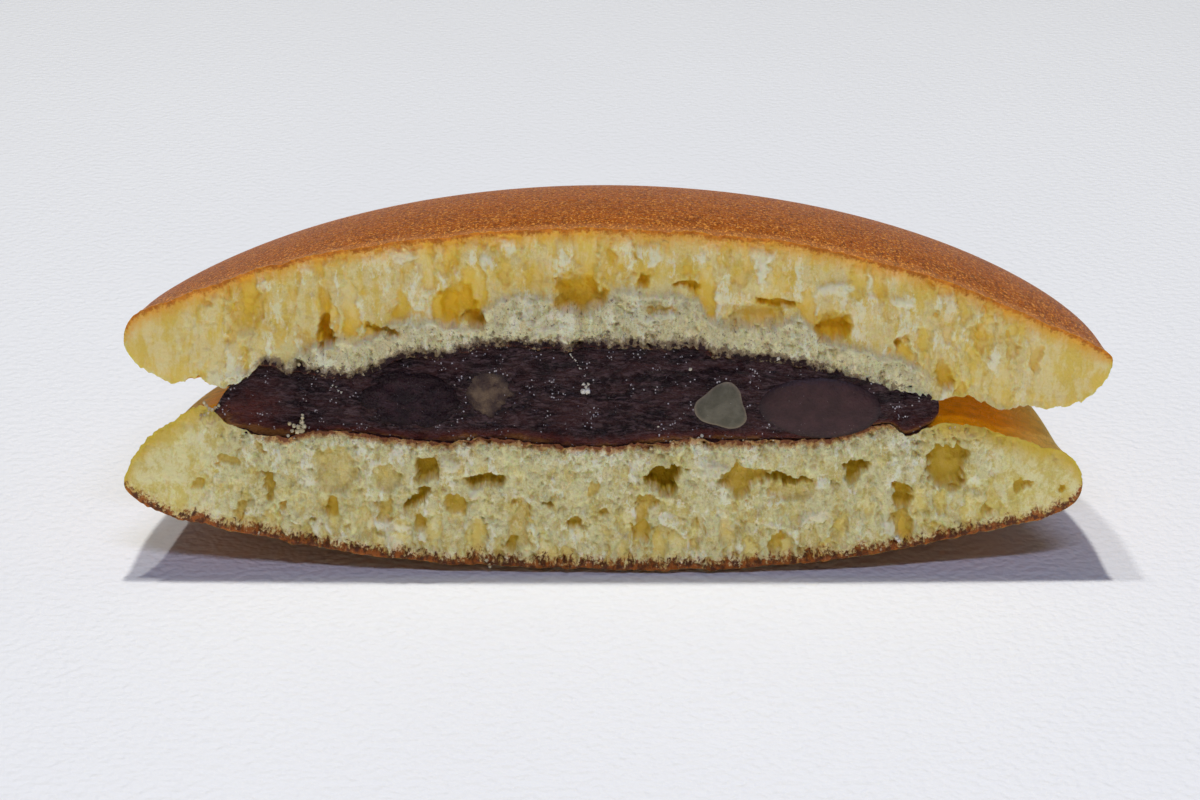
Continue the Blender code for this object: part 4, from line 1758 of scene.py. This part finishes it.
@dataclass(frozen=True)
class Pancake:
    """One griddled pancake, cut through: crusted outside and open crumb in the cut.

    sponge is the crumb's plain share of bubbles, and stain_mm is how far the filling soaks in.
    """

    node: Node
    slot: Slot
    disc: HalfDisc
    pores: PoreField
    rule: CrumbRule
    crumb: CrumbFinish
    skin: SkinFinish
    soft_skin: SkinFinish
    sponge: float
    stain_mm: float

    @property
    def is_upper(self) -> bool:
        """Whether this is the upper pancake, crust up."""
        return self.node is Node.UPPER

    def build(self, dressing: Dressing) -> bpy.types.Object:
        """Builds, opens and dresses the pancake.

        Args:
            dressing: The shared groups and trees.

        Returns:
            The finished piece.
        """
        data, cut = self.disc.build()
        piece = make_object(f"{self.node.value}_body", data)
        crease(piece.data, [cut[0], cut[-1]])
        for attr, values in self._marks(np.vstack(data.places), cut).items():
            put_float(piece.data, attr, values)
        finishes = (self.crumb, self.skin, self.soft_skin)
        crumb, skin, soft = (finish.make(dressing.effects) for finish in finishes)
        opened = run_tree(piece, dressing.crumb_tree, {**self.rule.inputs(), "Material": crumb})
        opened.name = piece.name
        piece.data = opened
        opened.materials.append(skin)
        opened.materials.append(soft)
        which = np.where(self._pale_faces(opened), 2, 1).astype(np.int32)
        which[: data.cut_faces] = 0
        opened.polygons.foreach_set("material_index", which)
        opened.shade_smooth()
        return piece

    @staticmethod
    def _pale_faces(mesh: bpy.types.Mesh) -> Grid:
        """Finds the unbaked skin, which lets light through.

        Args:
            mesh: The opened pancake.

        Returns:
            True for each face of soft skin.
        """
        bake = np.empty(len(mesh.vertices), dtype=np.float32)
        mesh.attributes[Attr.BAKE.value].data.foreach_get("value", bake)
        return np.array([bake[list(face.vertices)].max() < 0.35 for face in mesh.polygons])

    def _marks(self, places: Grid, cut: Grid) -> dict[Attr, Grid]:
        """Works out where the crust, the soaked side, the painted shade above the ledge, the columns and
        the sponge lie.

        Args:
            places: All vertices in the cut frame.
            cut: Vertex indices of the cut, rows by columns.

        Returns:
            One number for each vertex, by attribute.
        """
        on_cut = self._cut_marks(places[cut, 0], places[cut, 2])
        marks = {attr: np.zeros(len(places)) for attr in on_cut}
        marks[Attr.EDGE] += 9.0
        marks[Attr.TORN] = np.exp(-places[:, 1] / 0.9)
        for attr, values in on_cut.items():
            marks[attr][cut] = values
        self._mark_skin(marks, places)
        return marks

    def _cut_marks(self, x: Grid, z: Grid) -> dict[Attr, Grid]:
        """Works out the marks on the cut face.

        Args:
            x: Position across the cut for each place of its grid.
            z: Height up the cut for each place.

        Returns:
            One number for each place, by attribute.
        """
        tip_room = self.disc.half_width(np.array(0.0)) - np.abs(x - self.disc.centre)
        from_top = z[-1][None] - z
        from_under = z - z[0][None]
        level = from_under / np.maximum(z[-1][None] - z[0][None], 0.1)
        depth, amber, pale = self.pores.read(x, z)
        from_middle = np.abs(x - PASTE_DISC.centre)
        filled = smooth(from_middle, 34.0, 30.0)
        tip_line = np.interp(x[0], [x[0, 0], x[0, -1]], [z[0, 0], z[0, -1]])[None]
        if self.is_upper:
            crust_gap, paste_gap, past_tip = from_top, from_under, tip_line - z
            ledge = np.interp(x, [point[0] for point in LEDGE], [point[1] for point in LEDGE])
            ledge = ledge + 1.2 * (ValueNoise(77).at(x, 0.0, 1.1, 3) - 0.5)
            crumbly = smooth(z - ledge, 0.30, -0.30) * filled
            columns = 1.0 - crumbly
            reach = smooth(np.abs(x + 1.0), 34.0, 26.0)
            depth = np.maximum(depth, 0.45 * reach * columns * smooth(crust_gap, 0.4, 2.2))
            # Painted shade: the hollows turn amber above the ledge, carried by the soak mark.
            soaked = smooth(z - ledge, 4.6, 0.6) * columns * reach
            # A pale line along the ledge's top edge is a painted highlight where the step faces up into
            # the light.
            lip = np.exp(-(((z - ledge + 0.25) / 0.30) ** 2))
            pale = np.maximum(pale, 0.55 * lip * filled)
            bare = 0.0
        else:
            crust_gap, paste_gap, past_tip = from_under, from_top, z - tip_line
            crumbly = (0.25 + 0.35 * smooth(paste_gap, 2.4, 0.8)) * (0.3 + 0.7 * filled)
            columns = smooth(level, 0.55, 0.30)
            soaked = 0.0 * x
            bare = (1.0 - filled) * smooth(paste_gap, 2.6, 0.0)
        ends = smooth(tip_room, 4.0, 11.0)
        face = smooth(crust_gap, 0.15, 0.9) * smooth(tip_room, 0.3, 2.5) * smooth(paste_gap, 0.02, 0.4)
        return {
            Attr.FACE: face,
            Attr.HERO: depth,
            Attr.AMBER: np.maximum(amber, bare),
            Attr.PALE: pale,
            Attr.EDGE: crust_gap + np.maximum(past_tip, 0.0),
            Attr.SOAK: soaked,
            Attr.COLUMNS: columns * (0.12 + 0.88 * ends),
            Attr.SPONGE: (0.15 + 0.85 * ends) * self.sponge + 0.75 * crumbly,
            Attr.CRUMBLY: crumbly,
            Attr.OPEN: ends,
            Attr.TORN: smooth(crust_gap, 0.0, 1.2),
            Attr.STAIN: smooth(paste_gap, self.stain_mm, 0.0) * smooth(from_middle, 32.0, 27.0),
        }

    def _mark_skin(self, marks: dict[Attr, Grid], places: Grid) -> None:
        """Marks how brown and how soaked the outside is; the soak also places the inner side's painted
        glow.

        Args:
            marks: The marks so far, which this completes.
            places: All vertices in the cut frame.
        """
        across, behind, up = places.T
        disc = self.disc
        outside = behind > 0.0
        radius = np.hypot(across - disc.centre, behind - AXIS_BEHIND_CUT)
        tip = disc.tip - (across - disc.centre) * math.tan(disc.roll_behind)
        middle = 0.5 * (disc.top(radius) + disc.under(radius))
        if self.is_upper:
            crusted, inner = up - tip, up < middle
            limit = 1.2 - 1.6 * smooth(across, 20.0, 46.0)
        else:
            crusted, inner = tip - up, up > middle
            limit = 0.4
        from_paste = np.hypot(across - PASTE_DISC.centre, behind - AXIS_BEHIND_CUT)
        marks[Attr.TORN] = marks[Attr.TORN] * np.where(outside, smooth(crusted, 2.0, 0.5), 1.0)
        under_paste = smooth(from_paste, 33.0, 32.0) * inner * outside
        marks[Attr.STAIN] = np.maximum(marks[Attr.STAIN], under_paste)
        marks[Attr.BAKE] = smooth(crusted, limit - 1.4, limit + 1.5)
        soaked = smooth(radius, 43.5, 35.5) * smooth(crusted, 0.5, -1.2)
        marks[Attr.SOAK] = np.where(outside, soaked, marks[Attr.SOAK])


@dataclass(frozen=True)
class BeanPaste:
    """The filling: glossy dark paste with lumps, and hollows where the beans sit."""

    disc: PasteDisc
    finish: PasteFinish
    seed: int = 5

    def build(self, dressing: Dressing, beans: tuple[Bean, ...]) -> bpy.types.Object:
        """Builds the filling around the beans.

        Args:
            dressing: The shared groups and trees.
            beans: The beans that sit in the cut.

        Returns:
            The finished piece.
        """
        data, cut = self.disc.build()
        places = np.vstack(data.places)
        x = places[cut, 0]
        z = places[cut, 2]
        lumps = ValueNoise(self.seed)
        level = (z - z[0][None]) / np.maximum(z[-1][None] - z[0][None], 0.1)
        room = smooth(level, 0.0, 0.12) * smooth(level, 1.0, 0.88)
        press = 0.9 * (lumps.at(x, z, 3.4, 2) - 0.5) + 0.5 * (lumps.at(x, z + 40.0, 0.9, 2) - 0.5)
        press = press + 0.16 * (lumps.at(x + 9.0, z, 0.35) - 0.5)
        for bean in beans:
            away = bean.distance(x, z) + bean.ragged * (lumps.at(x, z + 150.0, 1.1, 3) - 0.5)
            press = press * smooth(away, 1.0, 1.4) - 0.42 * smooth(away, 1.35, 1.0)
            press = press + 0.9 * smooth(away, 0.82, 0.70)
        places[cut, 1] += room * press + 0.25 * (1.0 - room)
        data.places = [places]
        piece = make_object("bean_paste_filling", data)
        put_float(piece.data, Attr.STAIN, self._thinness(places, cut, level, lumps))
        piece.data.materials.append(self.finish.make(dressing.effects))
        return piece

    def _thinness(self, places: Grid, cut: Grid, level: Grid, lumps: ValueNoise) -> Grid:
        """Works out where the paste is thin and lets its red through.

        Args:
            places: All vertices in the cut frame.
            cut: Vertex indices of the cut, rows by columns.
            level: Height in the cut, from 0 to 1, for each place of its grid.
            lumps: The noise that makes it patchy.

        Returns:
            One number for each vertex, 0 where the paste is thick.
        """
        x = places[cut, 0]
        z = places[cut, 2]
        thin = np.zeros(len(places))
        ends = smooth(self.disc.half_width(np.array(0.0)) - np.abs(x - self.disc.centre), 7.0, 1.5)
        left = smooth(x, -26.0, -33.0) * smooth(level, 1.0, 0.5)
        bottom = smooth(level, 0.22, 0.0)
        own = np.clip(bottom + 0.3 * ends * smooth(level, 0.9, 0.1) + 0.4 * left, 0.0, 1.0)
        thin[cut] = own * (0.5 + 0.9 * lumps.at(x, z + 90.0, 2.4, 3))
        return thin


@dataclass(frozen=True)
class Bean:
    """One bean in the cut: a rounded outline on the cut plane with a body behind it.

    Sizes are in millimetres and the lean in degrees. The corner draws the outline towards
    three corners, and the rim's tone starts at the share rim_from of the way out.
    """

    node: Node
    slot: Slot
    across: float
    up: float
    width: float
    height: float
    lean: float
    bulge: float
    depth: float
    squareness: float
    finish: BeanFinish
    corner: float = 0.0
    wrinkle: float = 0.10
    rim_from: float = 0.80
    ragged: float = 0.12
    steps: int = 72
    rings: int = 30

    def distance(self, x: Grid, z: Grid) -> Grid:
        """Works out how far out of the bean each place is.

        Args:
            x: Position across the cut in millimetres.
            z: Height up the cut in millimetres.

        Returns:
            The distance from the middle, 1 on the outline.
        """
        turn = math.radians(self.lean)
        dx = x - self.across
        dz = z - self.up
        along = (dx * math.cos(turn) + dz * math.sin(turn)) / (0.5 * self.width)
        rise = (dz * math.cos(turn) - dx * math.sin(turn)) / (0.5 * self.height)
        three = 1.0 + self.corner * np.cos(3.0 * (np.arctan2(rise, along) - 0.5 * math.pi))
        return np.hypot(along, rise) / three

    def outline(self, angle: Grid) -> tuple[Grid, Grid]:
        """The outline around the bean's middle.

        Args:
            angle: Angles around the middle, in radians.

        Returns:
            Across and up from the middle, in millimetres, before the lean.
        """
        power = 2.0 / self.squareness
        cos = np.cos(angle)
        sin = np.sin(angle)
        three = 1.0 + self.corner * np.cos(3.0 * (angle - 0.5 * math.pi))
        x = 0.5 * self.width * three * np.sign(cos) * np.abs(cos) ** power
        z = 0.5 * self.height * three * np.sign(sin) * np.abs(sin) ** power
        return x, z

    def build(self, dressing: Dressing) -> bpy.types.Object:
        """Builds the bean, wrinkled a little and with its rim marked.

        Args:
            dressing: The shared groups and trees.

        Returns:
            The finished piece.
        """
        data = MeshData.empty()
        steps = self.steps
        angle = np.linspace(0.0, 2.0 * math.pi, steps, endpoint=False)
        x, z = self.outline(angle)
        turn = math.radians(self.lean)
        noise = ValueNoise(int(self.width * 31))
        front = data.add(np.array([[self.across, -self.bulge, self.up]]))[0]
        previous = None
        edge = [0.0]
        for ring in range(1, self.rings):
            swing = math.pi * ring / self.rings
            size = math.sin(swing) ** 0.8
            behind = -math.cos(swing)
            behind = behind * (self.bulge if behind < 0.0 else self.depth)
            px = self.across + size * (x * math.cos(turn) - z * math.sin(turn))
            pz = self.up + size * (x * math.sin(turn) + z * math.cos(turn))
            wrinkle = noise.at(px * 0.7, pz * 1.8 + behind, 1.2, 3) - 0.5
            wrinkle = self.wrinkle * wrinkle * math.sin(swing)
            row = data.add(np.column_stack((px, behind + wrinkle, pz)))
            rim = float(smooth(np.array(size), self.rim_from, 0.99)) * (behind < 0.1)
            edge.extend([rim] * steps)
            if previous is None:
                data.faces.extend((front, row[(k + 1) % steps], row[k]) for k in range(steps))
            else:
                for k in range(steps):
                    after = (k + 1) % steps
                    data.faces.append((previous[k], previous[after], row[after], row[k]))
            previous = row
        back = data.add(np.array([[self.across, self.depth, self.up]]))[0]
        data.faces.extend((previous[k], previous[(k + 1) % steps], back) for k in range(steps))
        edge.append(0.0)
        piece = make_object(f"{self.node.value}_seed", data)
        put_float(piece.data, Attr.EDGE, np.array(edge))
        piece.data.materials.append(self.finish.make(dressing.effects))
        return piece


SKIN_BEAN = BeanFinish("bean_skin", (0.040, 0.0135, 0.0145), (0.062, 0.022, 0.023), 0.40)
DARK_BEAN = BeanFinish("bean_skin_dark", (0.018, 0.006, 0.009), (0.046, 0.018, 0.023), 0.26, bump_mm=0.6)
PALE_BEAN = BeanFinish(
    "bean_inside_pale", (0.095, 0.086, 0.056), (0.155, 0.138, 0.095), 0.5,
    rim=0.7, rim_tone=(0.34, 0.26, 0.18),
)
BROWN_BEAN = BeanFinish(
    "bean_inside_brown", (0.054, 0.027, 0.020), (0.18, 0.115, 0.066), 0.45, bump_mm=0.25
)

BEANS = (
    Bean(Node.BEAN_RIGHT, Slot.SKIN, 20.0, -0.7, 11.4, 5.9, -2.0, 0.75, 4.0, 2.0, SKIN_BEAN),
    Bean(
        Node.BEAN_LEFT, Slot.SKIN, -17.2, 0.1, 9.0, 5.4, -4.0, 0.75, 4.0, 2.0, DARK_BEAN,
        wrinkle=1.5, rim_from=0.6, ragged=0.5,
    ),
    Bean(
        Node.SPLIT_PALE, Slot.PALE, 11.1, -0.6, 4.9, 4.5, -16.0, 0.55, 2.4, 1.9, PALE_BEAN,
        corner=0.145,
    ),
    Bean(
        Node.SPLIT_BROWN, Slot.BROWN, -10.1, 0.5, 5.0, 5.2, 35.0, 0.10, 2.4, 2.6, BROWN_BEAN,
        corner=0.06, wrinkle=0.3, rim_from=0.45, ragged=0.7,
    ),
)

UPPER = Pancake(
    Node.UPPER,
    Slot.UPPER,
    UPPER_DISC,
    UPPER_PORES,
    CrumbRule(2.3, 6.5, 0.55, 1.1, 0.50, 0.10, 0.35, 3.0),
    CrumbFinish(
        "upper_crumb", cream=(0.93, 0.76, 0.33), body=(0.87, 0.64, 0.120), amber=(0.86, 0.53, 0.014),
        deep=(0.80, 0.42, 0.005), chalk=(1.0, 0.90, 0.55), stain=(0.24, 0.155, 0.085),
    ),
    SkinFinish("upper_skin"),
    SkinFinish("upper_soft_skin", scatter=0.3),
    sponge=0.40,
    stain_mm=1.9,
)

LOWER = Pancake(
    Node.LOWER,
    Slot.LOWER,
    LOWER_DISC,
    LOWER_PORES,
    CrumbRule(1.7, 4.0, 0.7, 1.0, 0.6, 0.11, 0.40, 8.0),
    CrumbFinish(
        "lower_crumb", cream=(0.94, 0.85, 0.43), body=(0.78, 0.63, 0.155), amber=(0.80, 0.54, 0.030),
        deep=(0.54, 0.34, 0.011), chalk=(1.0, 0.92, 0.56), stain=(0.56, 0.27, 0.07),
        near_crust=(0.60, 0.32, 0.06), crust_line=(0.42, 0.125, 0.018), crust_dark=(0.12, 0.036, 0.010),
        wet=(0.26, 0.085, 0.028), glow_mm=1.5, line_mm=0.70, teeth=3.2, whiteness=0.85, upright=0.7,
    ),
    SkinFinish("lower_skin", crust=(0.44, 0.125, 0.016)),
    SkinFinish("lower_soft_skin", rim=(0.82, 0.60, 0.16), scatter=0.2, glow=0.16),
    sponge=0.55,
    stain_mm=1.5,
)


@dataclass(frozen=True)
class LooseCrumbs:
    """Crumbs of one kind that cling to the cut, as one mesh.

    The placed ones are (across, up, radius) in millimetres; the strewn ones lie along the
    filling's two borders.
    """

    name: str
    finish: CrumbBitFinish
    placed: tuple[Triple, ...]
    strewn: int
    smallest: float
    largest: float
    seed: int

    def _strewn(self) -> list[Triple]:
        """Draws the strewn crumbs from the seed.

        Returns:
            Across, up and radius of each, in millimetres.
        """
        draw = np.random.default_rng(self.seed)
        reach = draw.uniform(-0.80, 0.96, self.strewn)
        off = draw.normal(0.0, 0.30, self.strewn)
        size = draw.uniform(self.smallest, self.largest, self.strewn)
        upper = draw.random(self.strewn) < 0.5
        borders = PASTE_DISC.top_outline.heights(reach), PASTE_DISC.under_outline.heights(reach)
        up = np.where(upper, borders[0] + 0.25, borders[1] - 0.15) + off
        return list(zip(PASTE_DISC.centre + reach * PASTE_DISC.radius, up, size))

    def build(self, dressing: Dressing) -> bpy.types.Object:
        """Puts the crumbs on the cut.

        Args:
            dressing: The shared groups and trees.

        Returns:
            One mesh object with all the crumbs.
        """
        spots = np.array([*self.placed, *self._strewn()])
        data = MeshData.empty()
        data.add(np.column_stack((spots[:, 0], 0.18 - 0.3 * spots[:, 2], spots[:, 1])))
        piece = make_object(self.name, data)
        put_float(piece.data, Attr.SIZE, spots[:, 2] * MM)
        values = {"Seed": self.seed, "Material": self.finish.make(dressing.effects)}
        piece.data = run_tree(piece, dressing.crumbs_tree, values)
        piece.data.shade_smooth()
        return piece


CRUMBS = (
    LooseCrumbs(
        "white_crumbs",
        CrumbBitFinish("white_crumb", (0.95, 0.90, 0.74), (0.88, 0.78, 0.58)),
        placed=(
            (-1.5, 1.5, 0.18), (-1.1, 1.5, 0.15), (-1.3, 1.2, 0.16), (-1.5, 0.8, 0.24),
            (-1.1, 0.8, 0.24), (-24.2, 1.4, 0.17), (-24.0, 1.2, 0.15), (-23.8, 0.9, 0.15),
            (-23.5, 0.7, 0.12), (-2.7, 4.3, 0.08), (-2.6, 4.15, 0.07), (-2.5, 4.0, 0.08),
            (-2.3, 3.8, 0.07), (-2.2, 3.7, 0.08), (-2.1, 3.5, 0.07), (-2.0, 3.3, 0.08),
            (-1.8, 3.0, 0.12), (-1.7, 2.9, 0.10), (8.2, 2.9, 0.16), (16.1, 3.9, 0.18),
            (4.9, -2.8, 0.12), (5.3, -2.6, 0.10), (9.3, -3.5, 0.14), (9.0, -3.7, 0.11),
            (-14.6, 2.2, 0.15), (32.4, -2.7, 0.20), (32.9, -2.6, 0.16), (32.0, -2.8, 0.14),
            (27.4, -13.4, 0.20), (27.1, -13.2, 0.14), (27.6, -13.7, 0.16),
        ),
        strewn=24,
        smallest=0.03,
        largest=0.08,
        seed=4,
    ),
    LooseCrumbs(
        "cream_crumbs",
        CrumbBitFinish("cream_crumb", (0.90, 0.80, 0.52), (0.80, 0.62, 0.32)),
        placed=(
            (-28.3, -2.3, 0.16), (-27.9, -2.5, 0.18), (-27.5, -2.6, 0.20), (-27.2, -2.2, 0.20),
            (-27.1, -1.8, 0.16), (-27.1, -1.5, 0.12), (-27.0, -2.6, 0.20), (-27.2, -3.0, 0.22),
            (-27.6, -3.1, 0.22), (-28.1, -3.0, 0.16), (-36.0, -0.3, 0.15), (-35.8, -0.6, 0.16),
            (-35.6, -0.9, 0.17), (-35.3, -1.0, 0.17), (-35.0, -0.8, 0.15), (-34.7, -0.6, 0.13),
            (-35.7, -1.3, 0.17), (-36.0, -1.5, 0.16), (-36.4, -1.5, 0.14), (-10.5, -15.7, 0.17),
            (-10.3, -16.0, 0.18), (-10.2, -16.3, 0.14), (26.0, -14.6, 0.16), (-31.5, -13.0, 0.16),
        ),
        strewn=110,
        smallest=0.04,
        largest=0.16,
        seed=9,
    ),
)


# ---- Table, light and camera ----


@dataclass(frozen=True)
class Lamp:
    """A round or sideways stretched area light aimed at a point, in millimetres and watts."""

    name: str
    place: Triple
    aim: Triple
    diameter: float
    power: float
    colour: Colour = (1.0, 1.0, 1.0)
    stretch: float = 1.0

    def build(self) -> None:
        """Adds the light to the scene."""
        light = bpy.data.lights.new(self.name, "AREA")
        light.shape = "ELLIPSE"
        light.size = self.diameter * self.stretch * MM
        light.size_y = self.diameter * MM
        light.energy = self.power
        light.color = self.colour
        lamp = bpy.data.objects.new(self.name, light)
        lamp.location = Vector(self.place) * MM
        aim = (Vector(self.aim) - Vector(self.place)).to_track_quat("-Z", "Y")
        lamp.rotation_euler = aim.to_euler()
        bpy.context.scene.collection.objects.link(lamp)


LAMPS = (
    Lamp("key", (0.0, 98.0, 920.0), (0.0, -20.0, 15.0), 26.0, 4.7, (1.0, 0.985, 0.95)),
    Lamp("second", (-130.0, 98.0, 900.0), (0.0, -20.0, 15.0), 40.0, 2.0, (1.0, 0.99, 0.98)),
    Lamp("front", (60.0, -470.0, 615.0), (0.0, -20.0, 15.0), 50.0, 1.72, (0.62, 0.66, 1.0), 7.0),
    Lamp("low", (0.0, -900.0, 150.0), (0.0, -20.0, 15.0), 220.0, 0.80, (1.0, 0.93, 0.64)),
)


@dataclass(frozen=True)
class Studio:
    """The pale table, the surrounding light and the camera."""

    camera_place: Triple = (-1.38, -258.3, 114.8)
    pitch_down: float = math.radians(22.6)
    lens: float = 84.0
    table_size: float = 3000.0
    surround: Colour = (0.80, 0.85, 1.0)
    surround_strength: float = 0.09

    def build(self, dressing: Dressing) -> None:
        """Adds the table, lights, surround and camera.

        Args:
            dressing: The shared groups and trees.
        """
        self._table(dressing)
        for lamp in LAMPS:
            lamp.build()
        self._surround()
        self._camera()
        bpy.context.scene.view_settings.view_transform = "Standard"

    def _table(self, dressing: Dressing) -> None:
        """Adds a wide flat table top just under the pastry.

        Args:
            dressing: The shared groups and trees.
        """
        half = 0.5 * self.table_size * MM
        mesh = bpy.data.meshes.new("table")
        corners = [(-half, -half, 0.0), (half, -half, 0.0), (half, half, 0.0), (-half, half, 0.0)]
        mesh.from_pydata(corners, [], [(0, 1, 2, 3)])
        mesh.materials.append(TableFinish().make(dressing.effects))
        table = bpy.data.objects.new("table", mesh)
        bpy.context.scene.collection.objects.link(table)

    def _surround(self) -> None:
        """An even pale surround."""
        world = bpy.data.worlds.new("surround")
        world.use_nodes = True
        back = world.node_tree.nodes["Background"]
        back.inputs["Color"].default_value = (*self.surround, 1.0)
        back.inputs["Strength"].default_value = self.surround_strength
        bpy.context.scene.world = world

    def _camera(self) -> None:
        """The camera, looking slightly down at the cut face."""
        lens = bpy.data.cameras.new("camera")
        lens.lens = self.lens
        lens.sensor_width = 36.0
        lens.clip_start = 0.01
        camera = bpy.data.objects.new("camera", lens)
        camera.location = Vector(self.camera_place) * MM
        camera.rotation_euler = (0.5 * math.pi - self.pitch_down, 0.0, 0.0)
        bpy.context.scene.collection.objects.link(camera)
        bpy.context.scene.camera = camera


# ---- Putting it together ----


def register(piece: bpy.types.Object, slot: Slot, node: Node | None = None) -> None:
    """Hangs a piece on the frame's root and hides the frame node that it stands for.

    Args:
        piece: The finished piece.
        slot: Its material slot; not used.
        node: The frame node that it replaces, if any.
    """
    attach(piece, "root")
    if node is not None:
        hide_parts(node.value)
    LOG.info("%s: %d faces", piece.name, len(piece.data.polygons))


def main() -> None:
    """Builds the whole scene."""
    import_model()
    dressing = Dressing.prepare()
    for pancake in (UPPER, LOWER):
        register(pancake.build(dressing), pancake.slot, pancake.node)
    paste = BeanPaste(PASTE_DISC, PasteFinish()).build(dressing, BEANS)
    register(paste, Slot.PASTE, Node.PASTE)
    for bean in BEANS:
        register(bean.build(dressing), bean.slot, bean.node)
    for crumbs in CRUMBS:
        register(crumbs.build(dressing), Slot.UPPER)
    Studio().build(dressing)


if __name__ == "__main__":
    main()
